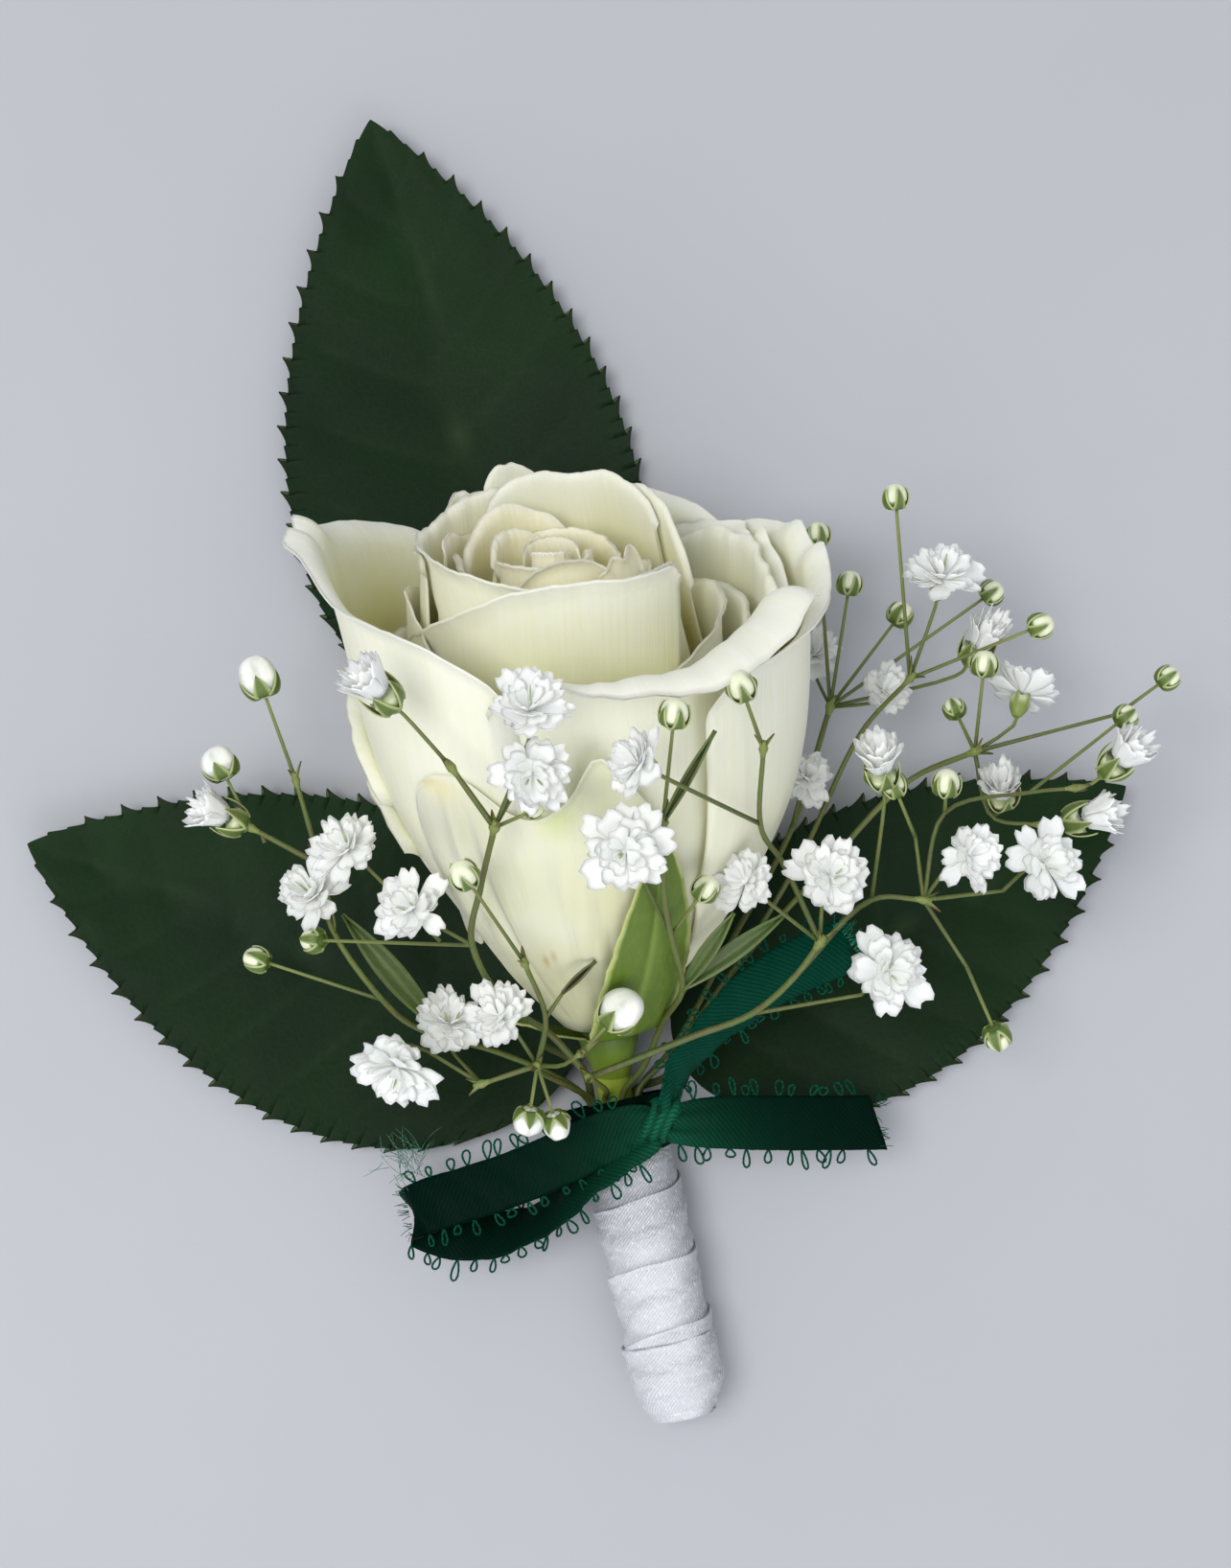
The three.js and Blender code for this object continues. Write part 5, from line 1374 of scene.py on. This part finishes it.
def build_wrap():
    """Winds the satin strip down the taped stems, and folds it in over their cut ends."""
    form = Form()
    width = size("satin_width")
    grid, phi, y, w = wound_strip(width)
    lit = smoothstep(-8, -16, y) * 0.8 + 0.2 * smoothstep(0.1, 0.0, w)
    shade = blend(colour("satin"), SATIN_LIT, lit)
    # Painted shade: the strip's right flank is painted darker, as the side turned away from the
    # light.
    shaded_flank = smoothstep(0.3, 0.95, np.cos(phi)) * smoothstep(-0.9, 0.2, np.sin(phi))
    shade = blend(shade, SATIN_PAINTED_SHADE, 0.6 * shaded_flank + 0 * w)
    place = points_of(phi * 5, w * width, 0 * phi)
    form.sheet(grid[::-1], size("satin"), shade[::-1], place[::-1])
    # The white satin's slanting threads, crumples and glints are mixed towards a painted highlight
    # colour.
    satin = satin_surface(
        "white satin", SATIN_GLINT, threads=1.0, roughness=0.34, gloss=0.5, sparkle=1.0,
        crumple=3.0,
    )
    strip = form.piece("satin_strip", satin, "white_satin", "satin_wrap")
    end = Form()
    radii = np.linspace(1, 0, 14)[:, None]
    around = np.linspace(0, 2 * math.pi, 49)[None, :]
    folds = 0.5 * ripple(around * 2, 12, (1, 3, 5)) * np.sin(math.pi * radii)
    depth = WRAP_END + 1.0 - 0.7 * (1 - radii) ** 0.5 + 0.3 * folds
    reach = 3.7 * radii * (1 + 0.06 * np.cos(3 * around + 1))
    local = points_of(reach * np.cos(around), depth, reach * np.sin(around))
    grid = moved(BUNDLE, flattened(local, WRAP_FLAT - 0.3))
    end.sheet(grid, size("satin"), SATIN_END, local)
    closing = end.piece("satin_end", satin, "white_satin", "satin_wrap")


def build_tape():
    """Winds paper tape round the stems."""
    form = Form()
    y = np.linspace(TAPE_TOP, -30, 90)
    around = circle(40)
    rings = []
    for along in y:
        spiral = np.mod(around / (2 * math.pi) + along / 5.0, 1)
        r = TAPE_RADIUS - 0.12 + 0.2 * spiral + 0.1 * ripple(around * 3 + along, 4)
        r = r * (1 - 0.12 * smoothstep(1.6, TAPE_TOP, along))
        rings.append(moved(BUNDLE, points_of(r * np.cos(around), along, r * np.sin(around))))
    form.loft(rings[::-1], colour("tape"))
    form.piece("stem_tape", tape_surface("floral tape"), "floral_tape", "floral_tape")


KNOT_CENTRE = np.array((4.2, 0.8, 12.0))
RIBBON_PAINTED_LIGHT = rgb(24, 92, 66)
RIBBON_LIT_TAIL = rgb(4, 60, 46)
RIBBON_THREADS = rgb(3, 30, 21)
KNOT_LIT = rgb(26, 100, 72)
KNOT_CORE = rgb(2, 26, 20)
PICOT_GREEN = rgb(10, 76, 56)
LOOSE_GREEN = rgb(86, 142, 118)


class Ribbon:
    """Strands of satin ribbon with picot loops of thread along both edges."""

    def __init__(self):
        self.bands = Form()
        self.loops = Form()
        self.dice = np.random.default_rng(44)
        self.tint = colour("ribbon")

    def strand(self, places, widths, seed, slant=0.0, tint=None, gather=(1.0, 0.0)):
        """Adds one strand; gather is how far it narrows at its first end and at its last."""
        places = np.asarray(places, float)
        length = np.linalg.norm(np.diff(curve_through(places, 200), axis=0), axis=1).sum()
        rows = int(length * 1.6)
        line = curve_through(places, rows + 1, even=True)
        v = np.linspace(0, 1, rows + 1)[:, None]
        parts = np.linspace(0, 1, len(widths))
        directions = np.stack([np.interp(v[:, 0], parts, axis) for axis in unit(widths).T], -1)
        ahead = unit(np.gradient(line, axis=0))
        directions = unit(directions - ahead * (directions * ahead).sum(-1, keepdims=True) * 0.8)
        up = unit(np.cross(directions, ahead))
        u = np.linspace(-1, 1, 15)[None, :]
        near = gather[0] * np.exp(-length * v / 2.6) + gather[1] * np.exp(-length * (1 - v) / 2.6)
        half = size("ribbon_width") / 2 * (1 - 0.42 * near)
        lift = 0.3 * (1 - u**2) + 0.12 * ripple(length * v * 0.4 + u, seed) * (1 + np.abs(u))
        lift = lift + near * 0.4 * np.cos(8 * u + seed)
        grid = line[:, None, :] + (u * half)[..., None] * directions[:, None, :]
        grid = grid + lift[..., None] * up[:, None, :]
        grid = grid + (slant * u * np.maximum(0, 4 * v - 3))[..., None] * ahead[:, None, :]
        place = points_of(u * 3, v * length, 0 * v + seed * 9)
        # Painted light: the strand is lighter near the knot, and more so towards one edge.
        close = gather[0] * np.exp(-length * v / 6) + gather[1] * np.exp(-length * (1 - v) / 8)
        tint = self.tint if tint is None else tint
        shade = blend(tint, RIBBON_PAINTED_LIGHT, close * 0.8 * (0.75 + 0.25 * u))
        self.bands.sheet(grid, size("ribbon"), shade, place)
        for column, inner in ((0, 1), (-1, -2)):
            edge = grid[:, column]
            outward = unit(edge - grid[:, inner])
            at = 1.2
            while at < length - 0.6:
                part = at / length
                if 0.05 < part < 0.97:
                    row = int(round(part * rows))
                    self.picot(edge[row], outward[row], ahead[row], up[row])
                at += self.dice.uniform(1.2, 2.5)

    def picot(self, at, outward, ahead, up):
        """Adds one small loop of thread that stands out from the ribbon's edge."""
        tall = self.dice.uniform(0.9, 2.2)
        wide = self.dice.uniform(0.38, 0.72)
        lean = self.dice.uniform(-0.7, 0.7)
        droop = self.dice.uniform(-0.35, 0.35)
        turn = np.linspace(0, 2 * math.pi, 13)
        out = tall * (1 - np.cos(turn)) / 2
        side = wide * np.sin(turn) * (0.35 + 0.65 * np.sin(turn / 2) ** 2) + lean * out * 0.5
        line = at + out[:, None] * outward + side[:, None] * ahead + (droop * out)[:, None] * up
        self.loops.tube(line, size("picot"), PICOT_GREEN, sides=5)

    def thread(self, at, direction, length, curl, tint, radius=0.06):
        """Adds one loose thread."""
        direction = unit(direction)
        side = unit(np.cross(direction, self.dice.normal(size=3)))
        other = np.cross(direction, side)
        t = np.linspace(0, 1, 9)[:, None]
        bend = self.dice.uniform(-1, 1, 2) * curl
        line = np.asarray(at, float) + length * (
            t * direction + bend[0] * t**2 * side + bend[1] * t**2 * (1 - 0.5 * t) * other
        )
        line[:, 2] = np.maximum(line[:, 2], 0.2)
        self.loops.tube(line, np.linspace(radius, radius * 0.6, 9), tint, sides=4)

    def frayed_end(self, at, across, outward, count, long, tint):
        """Adds loose threads along a cut end: across is half the end, outward points off it."""
        for _ in range(count):
            spot = np.asarray(at, float) + self.dice.uniform(-1, 1) * np.asarray(across, float)
            direction = np.asarray(outward, float) + self.dice.normal(0, 0.28, 3)
            self.thread(spot, direction, self.dice.uniform(0.3, 1) * long, 0.5, tint, 0.05)

    def knot(self):
        """Folds the ribbon once over the crossing, as a short pleated band."""
        over = np.linspace(-2.2, 2.2, 46)[:, None]
        across = np.linspace(-1, 1, 19)[None, :]
        turn = Matrix.Translation(KNOT_CENTRE) @ Matrix.Rotation(math.radians(-16), 4, "Z")
        pleats = 0.16 * np.cos(9 * across + 1.4 * over) + 0.1 * np.cos(4 * across - 2 * over)
        swell = 1 - 0.4 * np.abs(across) ** 3
        x = across * (1.9 - 0.45 * np.cos(over)) + 0.5 * np.sin(over)
        y = (2.7 + pleats) * swell * np.sin(over)
        z = (1.75 + pleats) * swell * np.cos(over)
        grid = moved(turn, points_of(x, y, z))
        place = points_of(across * 2, over * 2.4, 0 * over + 4)
        lit = 0.45 + 0.35 * np.cos(over - 0.5) + 0.2 * np.cos(9 * across + 1.4 * over)
        self.bands.sheet(grid, size("ribbon"), blend(self.tint, KNOT_LIT, lit), place)
        turns = circle(24)
        rings = []
        for part in np.linspace(-0.98, 0.98, 16):
            r = math.sqrt(1 - part**2) * (1 + 0.1 * np.cos(5 * turns + 3 * part))
            x = KNOT_CENTRE[0] + 2.3 * r * np.cos(turns)
            z = KNOT_CENTRE[2] - 1.1 + 1.1 * r * np.sin(turns)
            rings.append(points_of(x, KNOT_CENTRE[1] + 3.1 * part, z))
        self.bands.loft(rings, KNOT_CORE)

    def ring(self):
        """Winds the ribbon round the wrap, with its opening under the stems."""
        half = size("ribbon_width") / 2
        begin = -math.pi / 2 + RING_OPENING
        around = np.linspace(begin, 1.5 * math.pi - RING_OPENING, 80)[:, None]
        across = np.linspace(-half, half, 11)[None, :]
        radius = RING_RADIUS + 0.1 * ripple(around * 4 + across, 3)
        local = points_of(radius * np.cos(around), across, radius * np.sin(around))
        local = flattened(local, RING_FLAT - 0.16)
        place = points_of(across, around * 6, 0 * around)
        self.bands.sheet(moved(RING_PLACE, local), 0.3, self.tint, place)


# The middle line of each length of ribbon, and the directions of its width along it.
LOOP = (
    (4.2, 0.4, 12.9), (1.6, 0.1, 13.2), (-2.6, -1.4, 13.2), (-6.8, -3.4, 12.6),
    (-11.6, -5.5, 11.5), (-16.6, -7.2, 10.4), (-21.4, -8.7, 9.4), (-23.4, -9.9, 8.0),
    (-20.2, -11.6, 7.0), (-14.5, -12.1, 7.2), (-8.7, -10.1, 8.6), (-3.2, -5.3, 11.6),
    (0.4, -2.3, 12.4), (3.6, -0.4, 12.4),
)
LOOP_WIDTHS = (
    (0.3, -0.95, -0.1), (0.3, -0.95, -0.1), (0.3, -0.95, -0.1), (0.3, -0.95, -0.1),
    (0.3, -0.85, 0.3), (0.28, -0.46, 0.84), (0.28, -0.46, 0.84), (0.3, -0.9, 0.3),
)
RIGHT_TAIL = ((5, 0.3, 12.4), (10, 0.6, 12.4), (18, 0.5, 11.2), (28.6, 0.5, 9.2))
RIGHT_WIDTHS = ((0.05, -1, 0.1), (0.05, -1, 0))
UPPER_TAIL = (
    (4.8, 1.4, 12.7), (6.2, 6.2, 12.8), (9.6, 10.4, 13), (14.2, 14.6, 13.2), (19.4, 17.8, 13.4),
    (25.2, 20.2, 13.8),
)
UPPER_WIDTHS = (
    (0.35, -0.25, -0.9), (0.45, -0.38, -0.8), (0.6, -0.6, -0.3), (0.62, -0.75, 0.25),
)
# A cut end's middle, half of it, the way off it, its number of threads, their length and colour.
FRAYED_ENDS = (
    ((-23.6, -9.6, 8.8), (0.6, -2.8, -0.6), (-1, 0.1, 0.1), 26, 1.6, rgb(14, 88, 66)),
    ((28.6, 0.5, 9.4), (0.2, -2.9, 0.1), (1, -0.1, 0), 24, 1.5, PICOT_GREEN),
    ((25.2, 20.2, 14.0), (2.0, -2.2, 0.4), (0.75, 0.65, 0.1), 70, 2.6, rgb(40, 138, 112)),
)


def build_ribbon():
    """Ties the green ribbon: its ring, knot, loop, tails and frayed ends."""
    ribbon = Ribbon()
    ribbon.ring()
    ribbon.strand(LOOP, LOOP_WIDTHS, 1, gather=(1, 1))
    ribbon.strand(RIGHT_TAIL, RIGHT_WIDTHS, 2, slant=1)
    # The upper tail is painted in a lighter copy of the ribbon's colour, as painted light.
    ribbon.strand(UPPER_TAIL, UPPER_WIDTHS, 3, slant=-0.8, tint=RIBBON_LIT_TAIL)
    ribbon.knot()
    for cut_end in FRAYED_ENDS:
        ribbon.frayed_end(*cut_end)
    dice = ribbon.dice
    for _ in range(60):
        spot = (-23.6 + dice.normal(0, 1.1), -4.6 + dice.uniform(-1.6, 2.8), 9.2)
        direction = (dice.normal(-0.3, 0.6), 0.6 + dice.normal(0, 0.6), dice.normal(0, 0.3))
        ribbon.thread(spot, direction, dice.uniform(1.2, 3.4), 0.7, LOOSE_GREEN, 0.035)
    satin = satin_surface(
        "green satin", RIBBON_THREADS, threads=0.7, roughness=0.42, gloss=0.02, sparkle=0.3,
        slanting=0.5,
    )
    ribbon.bands.piece("ribbon_bands", satin, "green_satin", "green_ribbon")
    ribbon.loops.piece("ribbon_picots", satin, "green_satin", "green_ribbon")


def area_light(name, place, target, width, power, tint):
    """Hangs a round soft light that faces a target."""
    data = bpy.data.lights.new(name, "AREA")
    data.shape = "DISK"
    data.size = width
    data.energy = power
    data.color = tint
    lamp = bpy.data.objects.new(name, data)
    lamp.location = place
    lamp.rotation_euler = (Vector(target) - Vector(place)).to_track_quat("-Z", "Y").to_euler()
    bpy.context.scene.collection.objects.link(lamp)


def build_floor():
    """Lays a plain floor just under the boutonniere."""
    shaped = bmesh.new()
    bmesh.ops.create_grid(shaped, x_segments=2, y_segments=2, size=FLOOR_HALF)
    mesh = bpy.data.meshes.new("floor")
    shaped.to_mesh(mesh)
    shaped.free()
    floor = bpy.data.objects.new("floor", mesh)
    floor.location.z = -FLOOR_DROP
    bpy.context.scene.collection.objects.link(floor)
    paint = Surface("pale floor", roughness=0.6)
    cloud = paint.noise(paint.node("ShaderNodeTexCoord").outputs["Object"], scale=9.0, detail=4)
    flat = paint.node("ShaderNodeRGB")
    flat.outputs[0].default_value = (*colour("floor"), 1)
    clouded = paint.range(cloud, 0.4, 0.7, 0, 0.5)
    shade = paint.tinted(flat.outputs[0], colour("floor") * 0.9, clouded)
    mesh.materials.append(paint.finish(shade))


def build_stage():
    """Sets the floor, the soft lights, the room's light and the camera."""
    scene = bpy.context.scene
    build_floor()
    area_light(
        "key", place=(-0.3, 0.0, 0.94), target=(0, 0.04, 0.02), width=0.5, power=5.0,
        tint=(1.0, 0.995, 0.98),
    )
    area_light(
        "fill", place=(0.25, -0.75, 0.6), target=(0, 0.04, 0), width=0.9, power=3.4,
        tint=(0.98, 0.99, 1.0),
    )
    world = bpy.data.worlds.new("pale room")
    world.use_nodes = True
    background = world.node_tree.nodes["Background"]
    background.inputs["Color"].default_value = ROOM_COLOUR
    background.inputs["Strength"].default_value = ROOM_LIGHT
    scene.world = world
    scene.view_settings.view_transform = "Standard"
    data = bpy.data.cameras.new("camera")
    data.lens = CAMERA_LENS
    data.sensor_width = CAMERA_SENSOR
    data.clip_start = 0.01
    camera = bpy.data.objects.new("camera", data)
    camera.location = CAMERA_PLACE
    view = Vector(CAMERA_TARGET) - Vector(CAMERA_PLACE)
    camera.rotation_euler = view.to_track_quat("-Z", "Y").to_euler()
    scene.collection.objects.link(camera)
    scene.camera = camera


class BOUTONNIERE_OT_stage(bpy.types.Operator):
    """Set the floor, the lights and the camera"""

    bl_idname = "boutonniere.stage"
    bl_label = "Stage"

    def execute(self, context):
        build_stage()
        return {"FINISHED"}


class BOUTONNIERE_OT_rose(bpy.types.Operator):
    """Furl and open the petals of the rose"""

    bl_idname = "boutonniere.rose"
    bl_label = "Rose petals"

    def execute(self, context):
        build_rose()
        return {"FINISHED"}


class BOUTONNIERE_OT_rose_stem(bpy.types.Operator):
    """Make the rose's stem, its swollen hip and its sepals"""

    bl_idname = "boutonniere.rose_stem"
    bl_label = "Rose stem and sepals"

    def execute(self, context):
        build_rose_stem()
        return {"FINISHED"}


class BOUTONNIERE_OT_leaves(bpy.types.Operator):
    """Cut the three toothed leaves"""

    bl_idname = "boutonniere.leaves"
    bl_label = "Rose leaves"

    def execute(self, context):
        build_leaves()
        return {"FINISHED"}


class BOUTONNIERE_OT_sprays(bpy.types.Operator):
    """Branch the six sprays of baby's breath, with their buds and flowers"""

    bl_idname = "boutonniere.sprays"
    bl_label = "Baby's breath"

    def execute(self, context):
        build_sprays()
        if Spray.count != FLOWERS:
            raise RuntimeError(f"{Spray.count} flowers were made, not {FLOWERS}")
        return {"FINISHED"}


class BOUTONNIERE_OT_wrap(bpy.types.Operator):
    """Tape the stems together and wind white satin round them"""

    bl_idname = "boutonniere.wrap"
    bl_label = "Tape and satin"

    def execute(self, context):
        build_tape()
        build_wrap()
        return {"FINISHED"}


class BOUTONNIERE_OT_ribbon(bpy.types.Operator):
    """Tie the green ribbon with its loops of edge thread"""

    bl_idname = "boutonniere.ribbon"
    bl_label = "Green ribbon"

    def execute(self, context):
        build_ribbon()
        return {"FINISHED"}


OPERATORS = (
    BOUTONNIERE_OT_stage,
    BOUTONNIERE_OT_rose,
    BOUTONNIERE_OT_rose_stem,
    BOUTONNIERE_OT_leaves,
    BOUTONNIERE_OT_sprays,
    BOUTONNIERE_OT_wrap,
    BOUTONNIERE_OT_ribbon,
)


class BOUTONNIERE_PT_parts(bpy.types.Panel):
    """Lists the boutonniere's pieces, its sizes and its colours"""

    bl_label = "Boutonniere"
    bl_space_type = "VIEW_3D"
    bl_region_type = "UI"
    bl_category = "Boutonniere"

    def draw(self, context):
        pieces = self.layout.column(align=True)
        for operator in OPERATORS:
            pieces.operator(operator.bl_idname)
        for group in (context.scene.boutonniere_sizes, context.scene.boutonniere_colours):
            choices = self.layout.column(align=True)
            for name in type(group).__annotations__:
                choices.prop(group, name)


CLASSES = (BoutonniereSizes, BoutonniereColours, *OPERATORS, BOUTONNIERE_PT_parts)


def register():
    for made in CLASSES:
        bpy.utils.register_class(made)
    bpy.types.Scene.boutonniere_sizes = bpy.props.PointerProperty(type=BoutonniereSizes)
    bpy.types.Scene.boutonniere_colours = bpy.props.PointerProperty(type=BoutonniereColours)


def unregister():
    del bpy.types.Scene.boutonniere_colours
    del bpy.types.Scene.boutonniere_sizes
    for made in reversed(CLASSES):
        bpy.utils.unregister_class(made)


def main():
    register()
    bpy.ops.boutonniere.stage()
    bpy.ops.boutonniere.rose()
    bpy.ops.boutonniere.rose_stem()
    bpy.ops.boutonniere.leaves()
    bpy.ops.boutonniere.sprays()
    bpy.ops.boutonniere.wrap()
    bpy.ops.boutonniere.ribbon()


if __name__ == "__main__":
    main()
